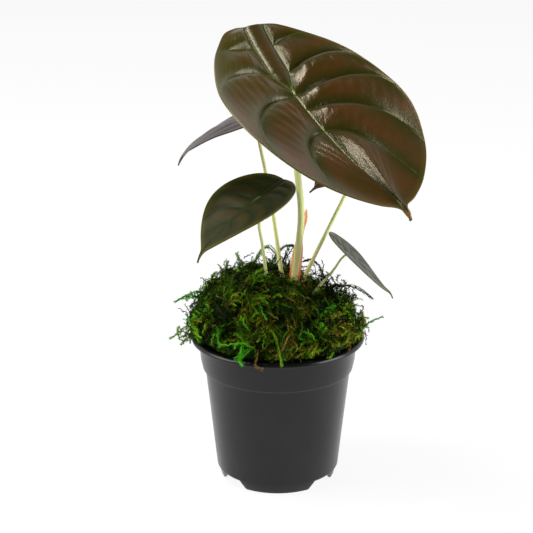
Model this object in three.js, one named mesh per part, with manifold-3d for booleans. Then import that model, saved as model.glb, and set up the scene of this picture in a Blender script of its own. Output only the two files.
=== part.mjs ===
import * as THREE from 'three';
import { mergeVertices } from 'three/addons/utils/BufferGeometryUtils.js';
import Module from 'manifold-3d';

// A potted red secret alocasia: five shield-shaped leaves on slim stalks, growing out of a mound
// of green moss in a round nursery pot. Millimetres, +Z up, origin under the middle of the pot.

const wasm = await Module();
wasm.setup();

// Clearance between solids that touch on the real plant
const GAP = 0.3;

// Pot: a thin moulded pot 105 mm across the lip and 91 mm tall
const POT = {
  lipRadius: 52.5,
  lipTop: 91,
  lipUnderside: 88,
  lipBack: 48.2,
  collarFoot: 70.6,
  collarRadius: 45.9,
  bodyTopRadius: 44.2,
  bodyFootRadius: 37.4,
  footLine: 6,
  footRadius: 34.7,
  wall: 1.2,
  floorUnderside: 6.3,
  bossRadius: 8.5,
  segments: 44,
};

// Notches through the foot ring, each with a drain hole inside it; angles in degrees
const NOTCH = { angles: [-141.5, -40, 40, 141.5], height: 5.2, halfBottom: 10.9, halfTop: 7.2 };
const DRAIN = { radius: 3.5, ring: 25 };

// Potting mix, to a little under the collar of the pot
const SOIL = { top: 80, crownOfTop: 2 };

// Short rootstock from which every stalk grows
const CROWN = { x: 8, y: 2.5, foot: 62, top: 102, radius: 9 };

// Moss mound: rings of [radius, height] from the middle of the underside to the top, with two
// hollows that show the inside of the rim, and a slope that lowers its right side
const MOSS_RINGS = [
  [0, 82.5], [24, 81.6], [40, 80.8], [45.4, 82.5], [46.2, 88], [46.4, 91.6], [50.2, 92.4], [52, 97],
  [52, 104], [49.5, 111], [44, 117.5], [36.5, 123], [25, 128], [12, 130.5], [0, 131.5],
];
const MOSS_HOLLOWS = [{ angle: -126, spread: 13, depth: 7 }, { angle: -12, spread: 11, depth: 6 }];
const MOSS_SLOPE = { level: 94, from: -30, to: 50, drop: 0.38 };
const MOSS = { segments: 36, lump: 0.04, strands: 104, sides: 3, steps: 5, seed: 41 };

// Margin of the largest blade in its own flat plane: [out from the midrib, along towards the tip],
// from the notch behind the stalk to the drip tip. Left is the left hand of a viewer who looks
// from the stalk to the tip.
const GREAT_MARGIN = {
  left: [
    [6.4, -57.3], [15, -54.2], [26, -44.3], [37.8, -30], [46, -15.4], [51.4, 0.4], [54.9, 18], [56, 32],
    [54, 46.7], [48.3, 62.3], [39.3, 79], [26, 94.5], [13, 104.8], [5, 109], [2.2, 112], [1.7, 115.5],
    [0, 119.5],
  ],
  right: [
    [6.4, -57.3], [12.5, -57.2], [21, -53.6], [29, -44], [37.2, -32], [44, -18.6], [50, -5], [54.4, 8],
    [56, 22], [55.4, 36], [51.8, 51], [46.6, 66], [38.5, 81], [26, 95], [12, 106], [4.6, 109.6],
    [2.1, 112.2], [1.6, 115.5], [0, 119.5],
  ],
};

// Side veins of the largest blade: where each leaves the midrib, where it meets the margin, how
// far it first dips back, and how far out it runs before it turns forward
const GREAT_VEINS = {
  left: [
    { from: -39, to: -40.5, dip: 7, reach: 0.5 },
    { from: -15, to: 5, dip: 18, reach: 0.83 },
    { from: 5, to: 36, dip: 16, reach: 0.97 },
    { from: 18, to: 71, dip: 4, reach: 1.03 },
    { from: 38, to: 95, dip: 1, reach: 0.96 },
  ],
  right: [
    { from: -39, to: -36, dip: 4, reach: 0.5 },
    { from: -15, to: 8, dip: 12, reach: 0.61 },
    { from: 5, to: 62, dip: 0, reach: 0.8 },
    { from: 38, to: 92, dip: 0, reach: 0.73 },
  ],
};

// Margin and veins of the younger blades, drawn for 50 mm from stalk to tip
const YOUNG_LENGTH = 50;
const YOUNG_HALF = [
  [2, -21.5], [8.5, -21], [15.5, -16.5], [20.5, -9.5], [24, -1.5], [26, 7], [26, 15.5], [23.3, 24],
  [18.3, 32], [12, 39.5], [5.6, 45.5], [2, 49], [0.9, 52], [0, 56],
];
const YOUNG_VEINS = [
  { from: -13, to: -12, dip: 3, reach: 0.5 },
  { from: -5, to: 4, dip: 5, reach: 0.7 },
  { from: 4, to: 19, dip: 3, reach: 0.85 },
  { from: 13, to: 31, dip: 1, reach: 0.9 },
  { from: 25, to: 41, dip: 0, reach: 0.85 },
];

// Blades. Junction is where the stalk joins; heading turns from +X towards +Y and descent tips
// the point down, in degrees. Curl bends each half, droop the front and rise the rear (per mm,
// negative curls up), twist turns the blade along its length and sway bends the midrib sideways.
// The drip tip droops by its own bend from a place along the blade.
const BLADES = {
  blade_great: {
    junction: [7.6, 0, 240.6], heading: -59.4, descent: 28.1, roll: 4.6, scale: 1, width: 1,
    curl: { left: -0.0089, right: -0.009 }, droop: -0.001, rise: 0.0018, twist: -0.0004, sway: 0.0008,
    tail: { from: 110, bend: 0.11 }, margin: GREAT_MARGIN, veins: GREAT_VEINS, basal: 6.4, relief: 3,
    thickness: 1, steps: [4, 6, 4, 2, 5, 6, 12], columns: 10, colour: 0x4a3219,
  },
  blade_back: {
    junction: [-13.2, 32, 215.9], heading: 140.4, descent: 8.3, roll: 3.7, scale: 68 / YOUNG_LENGTH,
    width: 1, curl: { left: 0.0098, right: -0.0049 }, droop: 0.0105, rise: 0.0043, twist: -0.0054,
    sway: 0, tail: { from: 66, bend: 0.03 }, basal: 1.8, relief: 1.4, thickness: 0.8,
    steps: [2, 3, 2, 2, 3, 3, 6], columns: 6, colour: 0x4d4148,
  },
  blade_left: {
    junction: [-10.9, 1.5, 176.2], heading: -134.5, descent: 18.6, roll: 0.7,
    scale: 52.1 / YOUNG_LENGTH, width: 0.87, curl: { left: -0.0016, right: -0.0325 }, droop: 0.0068,
    rise: -0.0027, twist: 0.0044, sway: -0.001, tail: { from: 50, bend: 0.09 }, basal: 1.6,
    relief: 1.2, thickness: 0.8, steps: [2, 3, 2, 2, 3, 3, 6], columns: 6, colour: 0x2b3315,
  },
  blade_right: {
    junction: [41.3, -5, 143.4], heading: 7.2, descent: 46.1, roll: 1.2, scale: 36.8 / YOUNG_LENGTH,
    width: 0.99, curl: { left: -0.0149, right: -0.0054 }, droop: -0.0009, rise: 0.0013,
    twist: -0.0006, sway: 0, tail: { from: 36, bend: 0.1 }, basal: 1.4, relief: 0.8, thickness: 0.7,
    steps: [2, 2, 2, 1, 2, 3, 5], columns: 5, colour: 0x5d6b52,
  },
  blade_hidden: {
    junction: [48.3, 15, 196.7], heading: -145.6, descent: 20, roll: 0, scale: 35.3 / YOUNG_LENGTH,
    width: 1, curl: { left: -0.004, right: -0.004 }, droop: 0.003, rise: 0, twist: 0, sway: 0,
    tail: { from: 34.4, bend: 0.03 }, basal: 1.4, relief: 0.9, thickness: 0.7,
    steps: [2, 2, 2, 1, 2, 3, 5], columns: 5, colour: 0x3a1d1a,
  },
};

// Stalks, from the rootstock up; each ends under the blade that it carries
const STALKS = {
  stalk_great: {
    blade: 'blade_great', radii: [2.2, 1.85], sides: 10, steps: 18,
    points: [
      [8, 2, 98], [9.1, 2, 117.6], [12, 3, 142.7], [13.7, 3.6, 161.2], [13.3, 3, 173.6],
      [11.4, 3, 190.2], [9.2, 3, 216.6],
    ],
  },
  stalk_back: {
    blade: 'blade_back', radii: [1.45, 0.9], sides: 8, steps: 16,
    points: [
      [5, 6, 98], [3.8, 7.8, 116.2], [1.4, 10, 131.1], [-2.8, 18, 160.1], [-7.6, 25.5, 185.2],
      [-11.6, 30.5, 203.9],
    ],
  },
  stalk_left: {
    blade: 'blade_left', radii: [1.15, 0.85], sides: 8, steps: 12,
    points: [
      [3.5, 0, 96], [-2.8, -1.6, 109.5], [-6, -1.6, 122.2], [-9.4, 0.5, 146.8], [-11.4, 1.2, 160.6],
    ],
  },
  stalk_hidden: {
    blade: 'blade_hidden', radii: [1.35, 0.95], sides: 8, steps: 16,
    points: [
      [11, 7.5, 97], [13.6, 9, 116.2], [18, 9.4, 127.4], [28.6, 12, 149.6], [37.3, 14, 167.6],
      [41.6, 14.6, 176.6], [46.6, 15.4, 185],
    ],
  },
  stalk_right: {
    blade: 'blade_right', radii: [1.05, 0.65], sides: 8, steps: 10,
    points: [[13, 0, 95], [16.6, -2.5, 107.5], [21.4, -4.5, 118], [28, -5, 126.4], [34, -5.2, 134.2]],
  },
};

// Papery sheath behind the foot of the largest stalk: [x, y, z, half width, wrap in degrees]
const SHEATH = {
  stations: [
    [9, 4.9, 112, 2.9, 75], [9.6, 5, 122, 3, 80], [10.7, 5.3, 131, 3.05, 72], [11.5, 5.7, 138, 3, 55],
    [12.2, 6.2, 143, 2.6, 38], [12.9, 6.8, 147.5, 1.9, 22], [13.9, 7, 152.5, 1.6, 15],
    [14.9, 7.1, 156.5, 1.6, 14], [15.9, 6.9, 160.5, 1.6, 12], [16.7, 6.6, 164.5, 0.9, 8],
    [17, 6.4, 167, 0.35, 5],
  ],
  thickness: 0.7,
  across: 6,
};

const COLOURS = {
  pot: [0x2c2d2e, 0.45],
  potting_mix: [0x2a211a, 0.95],
  rootstock: [0x6d7040, 0.7],
  moss: [0x33591b, 0.9],
  sheath: [0xc8744f, 0.55],
  stalk: [0xaebd74, 0.45],
};

const radians = THREE.MathUtils.degToRad;
const lerp = THREE.MathUtils.lerp;
const clamp = THREE.MathUtils.clamp;

// Repeatable random numbers between 0 and 1
function randomSource(seed) {
  let state = seed;
  return () => {
    state = (state * 1664525 + 1013904223) % 4294967296;
    return state / 4294967296;
  };
}

// Closed mesh with its faces pointing out, as a solid that can be joined and cut
function toSolid(geometry) {
  const bare = geometry.index ? geometry.toNonIndexed() : geometry.clone();
  bare.deleteAttribute('normal');
  bare.deleteAttribute('uv');
  const merged = mergeVertices(bare, 1e-4);
  const build = (triVerts) => new wasm.Manifold(new wasm.Mesh({ numProp: 3, vertProperties, triVerts }));
  const vertProperties = new Float32Array(merged.attributes.position.array);
  const kept = [];
  const index = merged.index.array;
  for (let i = 0; i < index.length; i += 3) {
    const [a, b, c] = [index[i], index[i + 1], index[i + 2]];
    if (a !== b && b !== c && c !== a) kept.push(a, b, c);
  }
  const solid = build(new Uint32Array(kept));
  if (solid.volume() >= 0) return solid;
  for (let i = 0; i < kept.length; i += 3) [kept[i], kept[i + 1]] = [kept[i + 1], kept[i]];
  return build(new Uint32Array(kept));
}

function toGeometry(solid) {
  const { vertProperties, triVerts, numProp } = solid.getMesh();
  const positions = new Float32Array(triVerts.length * 3);
  triVerts.forEach((vertex, i) => {
    for (let axis = 0; axis < 3; axis++) positions[i * 3 + axis] = vertProperties[vertex * numProp + axis];
  });
  const geometry = new THREE.BufferGeometry();
  geometry.setAttribute('position', new THREE.BufferAttribute(positions, 3));
  geometry.computeVertexNormals();
  return geometry;
}

function geometryFromTriangles(triangles) {
  const geometry = new THREE.BufferGeometry();
  const positions = new Float32Array(triangles.length * 9);
  triangles.flat().forEach((point, i) => point.toArray(positions, i * 3));
  geometry.setAttribute('position', new THREE.BufferAttribute(positions, 3));
  return geometry;
}

// Solid skinned over a row of closed rings, with its two ends closed
function skin(rings) {
  const triangles = [];
  const sides = rings[0].length;
  for (let i = 0; i + 1 < rings.length; i++) {
    for (let j = 0; j < sides; j++) {
      const k = (j + 1) % sides;
      triangles.push([rings[i][j], rings[i][k], rings[i + 1][k]]);
      triangles.push([rings[i][j], rings[i + 1][k], rings[i + 1][j]]);
    }
  }
  const [first, last] = [rings[0], rings[rings.length - 1]];
  for (let j = 0; j < sides - 2 - j; j++) {
    const [a, b, c, d] = [j, j + 1, sides - 2 - j, sides - 1 - j];
    triangles.push([first[a], first[c], first[b]], [first[a], first[d], first[c]]);
    triangles.push([last[a], last[b], last[c]], [last[a], last[c], last[d]]);
  }
  return toSolid(geometryFromTriangles(triangles));
}

// Round tube along a curve, its radius running evenly from the first value to the second
function taperedTube(points, [startRadius, endRadius], sides, steps) {
  const path = new THREE.CatmullRomCurve3(points, false, 'centripetal');
  const frames = path.computeFrenetFrames(steps, false);
  const rings = [];
  for (let i = 0; i <= steps; i++) {
    const centre = path.getPointAt(i / steps);
    const radius = lerp(startRadius, endRadius, i / steps);
    const ring = [];
    for (let j = 0; j < sides; j++) {
      const angle = (j / sides) * 2 * Math.PI;
      const offset = frames.normals[i].clone().multiplyScalar(Math.cos(angle) * radius);
      offset.addScaledVector(frames.binormals[i], Math.sin(angle) * radius);
      ring.push(centre.clone().add(offset));
    }
    rings.push(ring);
  }
  return skin(rings);
}

// Solid turned about the Z axis from a profile of [radius, height]
function turned(profile, segments) {
  const points = profile.map(([radius, height]) => new THREE.Vector2(radius, height));
  const geometry = new THREE.LatheGeometry(points, segments);
  geometry.rotateX(Math.PI / 2);
  return geometry;
}

// Pot

function bodyRadius(height) {
  const share = (height - POT.footLine) / (POT.collarFoot - POT.footLine);
  return lerp(POT.bodyFootRadius, POT.bodyTopRadius, share);
}

function makePot() {
  const { wall, lipTop, lipUnderside, lipRadius, lipBack, floorUnderside, bossRadius } = POT;
  const floorTop = floorUnderside + wall;
  const outside = [
    [0, 0], [bossRadius, 0], [bossRadius + 5, floorUnderside], [POT.footRadius - 2.4, floorUnderside],
    [POT.footRadius - 1.6, 0], [POT.footRadius, 0], [POT.footRadius + 0.5, 0.7],
    [POT.footRadius + 1.6, POT.footLine - 0.4], [bodyRadius(POT.footLine), POT.footLine + 0.5],
    [POT.bodyTopRadius, POT.collarFoot - 1], [POT.collarRadius, POT.collarFoot],
    [POT.collarRadius + 1.1, POT.collarFoot + 5.4], [lipBack, lipUnderside],
  ];
  const lip = [
    [lipRadius - 0.6, lipUnderside], [lipRadius, lipUnderside + 0.6], [lipRadius, lipTop - 1.6],
    [lipRadius - 0.9, lipTop - 0.3], [lipRadius - 2.2, lipTop], [lipRadius - 3.4, lipTop - 0.3],
    [lipBack - 0.4, lipTop - 2.6], [lipBack - wall - 0.1, lipUnderside - 0.5],
  ];
  const inside = [
    [POT.collarRadius - wall, POT.collarFoot + 0.8], [POT.bodyTopRadius - wall, POT.collarFoot - 1.2],
    [bodyRadius(floorTop) - wall, floorTop + 2], [bodyRadius(floorTop) - wall - 1.5, floorTop],
    [bossRadius + 4.6, floorTop], [bossRadius - 0.6, wall], [0, wall],
  ];
  let pot = toSolid(turned([...outside, ...lip, ...inside], POT.segments));
  for (const angle of NOTCH.angles) pot = pot.subtract(footNotch(angle)).subtract(drainHole(angle));
  return pot;
}

// Wedge that opens the foot ring, wider at the bottom
function footNotch(angle) {
  const outline = new THREE.Shape([
    new THREE.Vector2(-NOTCH.halfBottom - 1, -1), new THREE.Vector2(NOTCH.halfBottom + 1, -1),
    new THREE.Vector2(NOTCH.halfTop, NOTCH.height), new THREE.Vector2(-NOTCH.halfTop, NOTCH.height),
  ]);
  const [inner, outer] = [POT.footRadius - 4.7, POT.footRadius + 7.3];
  const geometry = new THREE.ExtrudeGeometry(outline, { depth: outer - inner, bevelEnabled: false });
  geometry.rotateX(Math.PI / 2);
  geometry.rotateZ(Math.PI / 2);
  geometry.translate(inner, 0, 0);
  geometry.rotateZ(radians(angle));
  return toSolid(geometry);
}

function drainHole(angle) {
  const geometry = new THREE.CylinderGeometry(DRAIN.radius, DRAIN.radius, 6, 12);
  geometry.rotateX(Math.PI / 2);
  geometry.translate(DRAIN.ring, 0, POT.floorUnderside + POT.wall / 2);
  geometry.rotateZ(radians(angle));
  return toSolid(geometry);
}

// Potting mix and rootstock

function makePottingMix() {
  const floorTop = POT.floorUnderside + POT.wall;
  const inner = POT.wall + GAP;
  const foot = bodyRadius(floorTop) - inner;
  const profile = [
    [0, POT.wall + GAP], [POT.bossRadius - 1.2, POT.wall + GAP], [POT.bossRadius + 4.2, floorTop + GAP],
    [foot - 1.8, floorTop + GAP], [foot - 0.2, floorTop + 2.2],
    [POT.bodyTopRadius - inner - 0.2, POT.collarFoot - 1],
    [POT.collarRadius - inner - 0.2, POT.collarFoot + 1],
    [POT.collarRadius + 0.2 - inner, SOIL.top - 1], [POT.collarRadius - 2.5, SOIL.top],
    [20, SOIL.top + 1], [0, SOIL.top + SOIL.crownOfTop],
  ];
  return toSolid(turned(profile, 32)).subtract(makeRootstock(GAP));
}

function makeRootstock(grow = 0) {
  const { radius, foot, top } = CROWN;
  const profile = [
    [0, foot - grow], [radius * 0.55 + grow, foot + 1 - grow], [radius * 0.9 + grow, foot + 8],
    [radius + grow, foot + 20], [radius * 0.95 + grow, top - 8],
    [radius * 0.7 + grow, top - 2.5 + grow], [0, top + grow],
  ];
  const geometry = turned(profile, 16);
  geometry.translate(CROWN.x, CROWN.y, 0);
  return toSolid(geometry);
}

// Blades

// How far an arc of the given bend runs along and falls away over a length
function arc(bend, length) {
  if (Math.abs(bend) < 1e-6) return [length, 0];
  return [Math.sin(bend * length) / bend, (Math.cos(bend * length) - 1) / bend];
}

// Run, fall and lean of the midrib at a place along the blade, its drip tip bent on from the rest
function lengthwise({ droop, rise, tail }, along) {
  const bend = along > 0 ? droop : -rise;
  const straight = Math.min(along, tail.from);
  const [run, fall] = arc(bend, straight);
  if (along <= tail.from) return [run, fall, bend * along];
  const lean = bend * straight;
  const [tailRun, tailFall] = arc(tail.bend, along - straight);
  return [
    run + tailRun * Math.cos(lean) + tailFall * Math.sin(lean),
    fall - tailRun * Math.sin(lean) + tailFall * Math.cos(lean),
    lean + tail.bend * (along - straight),
  ];
}

// Turns a point of the flat blade, with its height above it, into its place on the bent blade
function bladePlacer(blade) {
  const heading = radians(blade.heading);
  const descent = radians(blade.descent);
  const junction = new THREE.Vector3(...blade.junction);
  const tipward = new THREE.Vector3(
    Math.cos(heading) * Math.cos(descent), Math.sin(heading) * Math.cos(descent), -Math.sin(descent));
  const upward = new THREE.Vector3(
    Math.cos(heading) * Math.sin(descent), Math.sin(heading) * Math.sin(descent), Math.cos(descent));
  upward.applyAxisAngle(tipward, radians(blade.roll));
  const leftward = new THREE.Vector3().crossVectors(upward, tipward);

  return (out, along, height = 0) => {
    const [run, fall, lean] = lengthwise(blade, along);
    const above = upward.clone().multiplyScalar(Math.cos(lean)).addScaledVector(tipward, Math.sin(lean));
    const turn = blade.twist * along;
    const aside = leftward.clone().multiplyScalar(Math.cos(turn)).addScaledVector(above, Math.sin(turn));
    const face = above.clone().multiplyScalar(Math.cos(turn)).addScaledVector(leftward, -Math.sin(turn));
    const curl = out > 0 ? blade.curl.left : blade.curl.right;
    const [across, sink] = arc(curl, out);
    return junction.clone()
      .addScaledVector(tipward, run).addScaledVector(upward, fall)
      .addScaledVector(leftward, blade.sway * along * along)
      .addScaledVector(aside, across + height * Math.sin(curl * out))
      .addScaledVector(face, sink + height * Math.cos(curl * out));
  };
}

// Share of the margin's length at which it passes a given place along the blade
function marginShare(curve, along) {
  let [low, high] = [0, 1];
  for (let i = 0; i < 30; i++) {
    const middle = (low + high) / 2;
    if (curve.getPointAt(middle).y < along) low = middle;
    else high = middle;
  }
  return (low + high) / 2;
}

// One half of a blade: its margin curve, and its veins with the notch and the tip added as ends
function bladeHalf(margin, veins, scale, width) {
  const points = margin.map(([out, along]) => new THREE.Vector2(out * scale * width, along * scale));
  const curve = new THREE.SplineCurve(points);
  const rear = margin[0][1] * scale;
  const tip = margin[margin.length - 1][1] * scale;
  const inner = veins.map(({ from, to, dip, reach }) => (
    { from: from * scale, share: marginShare(curve, to * scale), dip: dip * scale, reach }));
  const first = { from: rear, share: 0, dip: 0, reach: 0.6 };
  const last = { from: tip, share: 1, dip: 0, reach: 0.8 };
  return [curve, [first, ...inner, last]];
}

// Row of points from the midrib or basal vein to the margin, bowed as the side veins are, with
// the puffed height of the blade between them
function bladeRow(curve, veins, start, columns, relief) {
  let i = 0;
  while (i + 2 < veins.length && start.y >= veins[i + 1].from) i++;
  const share = clamp((start.y - veins[i].from) / (veins[i + 1].from - veins[i].from), 0, 1);
  const at = (key) => lerp(veins[i][key], veins[i + 1][key], share);
  const end = curve.getPointAt(at('share'));
  const bow = new THREE.Vector2(lerp(start.x, end.x, at('reach')), start.y - at('dip'));
  const puff = relief * Math.abs(Math.sin(Math.PI * share)) ** 0.7;
  const path = new THREE.QuadraticBezierCurve(start, bow, end);
  const row = [];
  for (let j = 0; j <= columns; j++) {
    const step = (j / columns) ** 1.15;
    const { x, y } = path.getPoint(step);
    const rise = Math.sin((Math.PI / 2) * clamp(step / 0.22, 0, 1));
    const fade = 1 - THREE.MathUtils.smoothstep(step, 0.6, 1);
    row.push([x, y, puff * rise * fade]);
  }
  return row;
}

// Closed thin blade, split into the same triangles above and below
function makeBlade(blade) {
  const place = bladePlacer(blade);
  const { scale, width, columns, relief, thickness } = blade;
  const margin = blade.margin ?? { left: YOUNG_HALF, right: YOUNG_HALF };
  const veins = blade.veins ?? { left: YOUNG_VEINS, right: YOUNG_VEINS };
  const basal = blade.basal * (blade.margin ? 1 : scale);
  const halves = ['left', 'right'].map((side) => bladeHalf(margin[side], veins[side], scale, width));
  const rear = margin.left[0][1] * scale;
  const tip = margin.left[margin.left.length - 1][1] * scale;

  // Places along the midrib where the rows start, the stalk's junction among them
  const origins = veins.left.map(({ from }) => from * scale);
  const marks = [rear, ...origins.filter((from) => from < 0), 0, ...origins.filter((from) => from > 0), tip];
  const starts = [];
  marks.slice(0, -1).forEach((mark, i) => {
    const count = blade.steps[i];
    for (let k = 0; k < count; k++) starts.push(lerp(mark, marks[i + 1], k / count));
  });
  starts.push(tip);
  const junctionRow = starts.indexOf(0);

  // The basal veins part behind the junction
  const partAt = (along) => basal * Math.sin((Math.PI / 2) * clamp(along / (rear * 0.35), 0, 1));
  const rows = halves.map(([curve, keys]) => starts.map(
    (along) => bladeRow(curve, keys, new THREE.Vector2(partAt(along), along), columns, relief)));
  rows[1].forEach((row) => row.forEach((point) => { point[0] = -point[0]; }));

  // The wedge between the basal veins
  const wedge = starts.slice(0, junctionRow + 1).map((along, i) => {
    const [left, right] = [rows[0][i][0], rows[1][i][0]];
    const notch = i === 0 ? 0.9 : 0;
    const rise = relief * 0.4 * (partAt(along) / basal);
    return [left, [0, (left[1] + right[1]) / 2 + notch, rise], right];
  });

  const faces = [];
  const quad = (a, b, c, d) => faces.push([a, b, c], [a, c, d]);
  for (let i = 0; i + 1 < starts.length; i++) {
    for (let j = 0; j < columns; j++) {
      quad(rows[0][i][j], rows[0][i + 1][j], rows[0][i + 1][j + 1], rows[0][i][j + 1]);
      quad(rows[1][i][j + 1], rows[1][i + 1][j + 1], rows[1][i + 1][j], rows[1][i][j]);
    }
    if (i < junctionRow) {
      quad(wedge[i][0], wedge[i][1], wedge[i + 1][1], wedge[i + 1][0]);
      quad(wedge[i][1], wedge[i][2], wedge[i + 1][2], wedge[i + 1][1]);
    }
  }
  return thicken(faces, place, thickness);
}

// Closed shell from the faces of a thin sheet: the same triangles above and below, and a rim
function thicken(faces, place, thickness) {
  const name = ([out, along]) => `${out.toFixed(2)} ${along.toFixed(2)}`;
  const whole = faces.filter((face) => new Set(face.map(name)).size === 3);
  const placed = new Map();
  const spot = (point, side) => {
    const key = `${name(point)} ${side}`;
    if (!placed.has(key)) placed.set(key, place(point[0], point[1], point[2] + (side * thickness) / 2));
    return placed.get(key);
  };
  const edges = new Set();
  for (const face of whole) {
    face.forEach((point, i) => edges.add(`${name(point)} to ${name(face[(i + 1) % 3])}`));
  }
  const triangles = [];
  for (const face of whole) {
    const [a, b, c] = face;
    triangles.push([spot(a, 1), spot(b, 1), spot(c, 1)], [spot(a, -1), spot(c, -1), spot(b, -1)]);
    face.forEach((point, i) => {
      const next = face[(i + 1) % 3];
      if (edges.has(`${name(next)} to ${name(point)}`)) return;
      triangles.push([spot(next, 1), spot(point, 1), spot(point, -1)]);
      triangles.push([spot(next, 1), spot(point, -1), spot(next, -1)]);
    });
  }
  return toSolid(geometryFromTriangles(triangles));
}

// Stalks

function makeStalk(stalk, grow = 0) {
  const blade = BLADES[stalk.blade];
  const place = bladePlacer(blade);
  const below = blade.thickness / 2 + GAP;
  const points = stalk.points.map((point) => new THREE.Vector3(...point));
  points.push(place(0, 0, -below - 5), place(0, 0, -below + grow));
  const radii = stalk.radii.map((radius) => radius + grow);
  return taperedTube(points, radii, stalk.sides, stalk.steps);
}

// Channel-shaped strap that narrows to a point, hugging the stalk in front of it
function makeSheath(grow = 0) {
  const { stations, thickness, across } = SHEATH;
  const rings = stations.map(([x, y, z, width, wrap], i) => {
    const radius = width / Math.sin(radians(wrap));
    const bend = radians(wrap) + grow / radius;
    const level = z + (i === 0 ? -grow : i === stations.length - 1 ? grow : 0);
    const half = thickness / 2 + grow;
    const spot = (reach, angle) => (
      new THREE.Vector3(x + reach * Math.sin(angle), y - radius + reach * Math.cos(angle), level));
    const angles = Array.from({ length: across + 1 }, (_, j) => lerp(-bend, bend, j / across));
    const outer = angles.map((angle) => spot(radius + half, angle));
    const inner = angles.map((angle) => spot(radius - half, angle)).reverse();
    return [...outer, ...inner];
  });
  return skin(rings);
}

// Moss

// Uneven swelling of the mound round its axis
function lump(angle, height) {
  return Math.sin(3 * angle + 0.09 * height) + 0.8 * Math.sin(5 * angle - 0.21 * height + 1.1)
    + 0.9 * Math.sin(9 * angle + 0.33 * height + 2.3) * Math.cos(0.4 * height + 2 * angle);
}

// How far a hollow draws the mound in from the rim
function hollow(angle, height) {
  const level = clamp(1 - Math.abs(height - POT.lipTop - 2) / 8, 0, 1);
  return MOSS_HOLLOWS.reduce((sum, { angle: centre, spread, depth }) => {
    const turn = THREE.MathUtils.euclideanModulo(THREE.MathUtils.radToDeg(angle) - centre + 180, 360) - 180;
    return sum + depth * Math.exp(-((turn / spread) ** 2)) * level;
  }, 0);
}

// Height of the mound once its right side is lowered
function sloped(x, height) {
  const { level, from, to, drop } = MOSS_SLOPE;
  return height - Math.max(height - level, 0) * drop * THREE.MathUtils.smoothstep(x, from, to);
}

function makeMossCore() {
  const geometry = turned(MOSS_RINGS, MOSS.segments);
  const position = geometry.attributes.position;
  for (let i = 0; i < position.count; i++) {
    const [x, y, z] = [position.getX(i), position.getY(i), position.getZ(i)];
    const radius = Math.max(Math.hypot(x, y), 1e-6);
    const angle = Math.atan2(y, x);
    const above = z > POT.lipTop + 1;
    const swell = above ? lump(angle, z) * MOSS.lump : -0.01 - 0.004 * Math.abs(lump(angle, z));
    const factor = 1 + swell - hollow(angle, z) / radius * (radius > 20 ? 1 : 0);
    const settle = z > POT.lipTop + 3 ? lump(angle + 0.7, z * 1.7) * Math.min(radius / 20, 1) : 0;
    position.setXYZ(i, x * factor, y * factor, sloped(x * factor, z + settle));
  }
  return toSolid(geometry);
}

// Strand that leaves the mound, bends over and curls at its tip
function makeStrand(random) {
  const angle = random() * 2 * Math.PI;
  const slope = lerp(-0.1, 1.4, random() ** 0.9);
  const outward = new THREE.Vector3(Math.cos(angle), Math.sin(angle), 0);
  const root = outward.clone().multiplyScalar(48 * Math.cos(slope));
  root.z = sloped(root.x, 101 + 28 * Math.sin(slope));
  const heading = outward.clone().multiplyScalar(Math.cos(slope)).setZ(Math.sin(slope) + 0.35);
  heading.x += (random() - 0.5) * 1.3;
  heading.y += (random() - 0.5) * 1.3;
  heading.normalize();
  const length = lerp(11, 23, random() ** 1.4);
  const swing = new THREE.Vector3(random() - 0.5, random() - 0.5, -0.75).multiplyScalar(length);
  const points = [];
  for (let i = 0; i <= 4; i++) {
    const share = i / 4;
    const point = root.clone().addScaledVector(heading, length * share - 4);
    points.push(point.addScaledVector(swing, share * share * 0.6));
  }
  return taperedTube(points, [1.25, 0.6], MOSS.sides, MOSS.steps);
}

// Ring a little larger than the pot's lip, which keeps the moss clear of it
function lipClearance() {
  const { lipBack, lipTop, lipRadius, segments } = POT;
  const profile = [
    [lipBack - 2, lipTop - 3], [lipRadius + GAP, lipTop - 5], [lipRadius + GAP, lipTop - 1],
    [lipRadius - 1.2, lipTop + GAP], [lipBack - 0.6, lipTop + GAP], [lipBack - 2, lipTop - 3],
  ];
  return toSolid(turned(profile, segments));
}

function makeMoss() {
  const random = randomSource(MOSS.seed);
  const strands = Array.from({ length: MOSS.strands }, () => makeStrand(random));
  let moss = wasm.Manifold.union([makeMossCore(), ...strands]);
  const stalks = Object.values(STALKS).map((stalk) => makeStalk(stalk, GAP));
  const neighbours = [lipClearance(), makeRootstock(GAP), makeSheath(GAP), ...stalks];
  for (const neighbour of neighbours) moss = moss.subtract(neighbour);
  const pieces = moss.decompose().sort((a, b) => b.volume() - a.volume());
  return pieces[0];
}

// Assembly

const plant = new THREE.Group();

function addPiece(name, solid, [colour, roughness]) {
  const material = new THREE.MeshStandardMaterial({ color: colour, roughness, metalness: 0 });
  const mesh = new THREE.Mesh(toGeometry(solid), material);
  mesh.name = name;
  plant.add(mesh);
}

addPiece('pot', makePot(), COLOURS.pot);
addPiece('potting_mix', makePottingMix(), COLOURS.potting_mix);
addPiece('rootstock', makeRootstock(), COLOURS.rootstock);
addPiece('moss', makeMoss(), COLOURS.moss);
addPiece('sheath', makeSheath(), COLOURS.sheath);
for (const [name, stalk] of Object.entries(STALKS)) {
  const others = [makeRootstock(GAP), makeSheath(GAP)];
  const solid = others.reduce((body, other) => body.subtract(other), makeStalk(stalk));
  const pieces = solid.decompose().sort((a, b) => b.volume() - a.volume());
  addPiece(name, pieces[0], COLOURS.stalk);
}
for (const [name, blade] of Object.entries(BLADES)) addPiece(name, makeBlade(blade), [blade.colour, 0.35]);

export default plant;
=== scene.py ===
"""Looks of a potted red secret alocasia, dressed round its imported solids."""
import logging
import math
from dataclasses import dataclass, field
from enum import Enum

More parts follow.
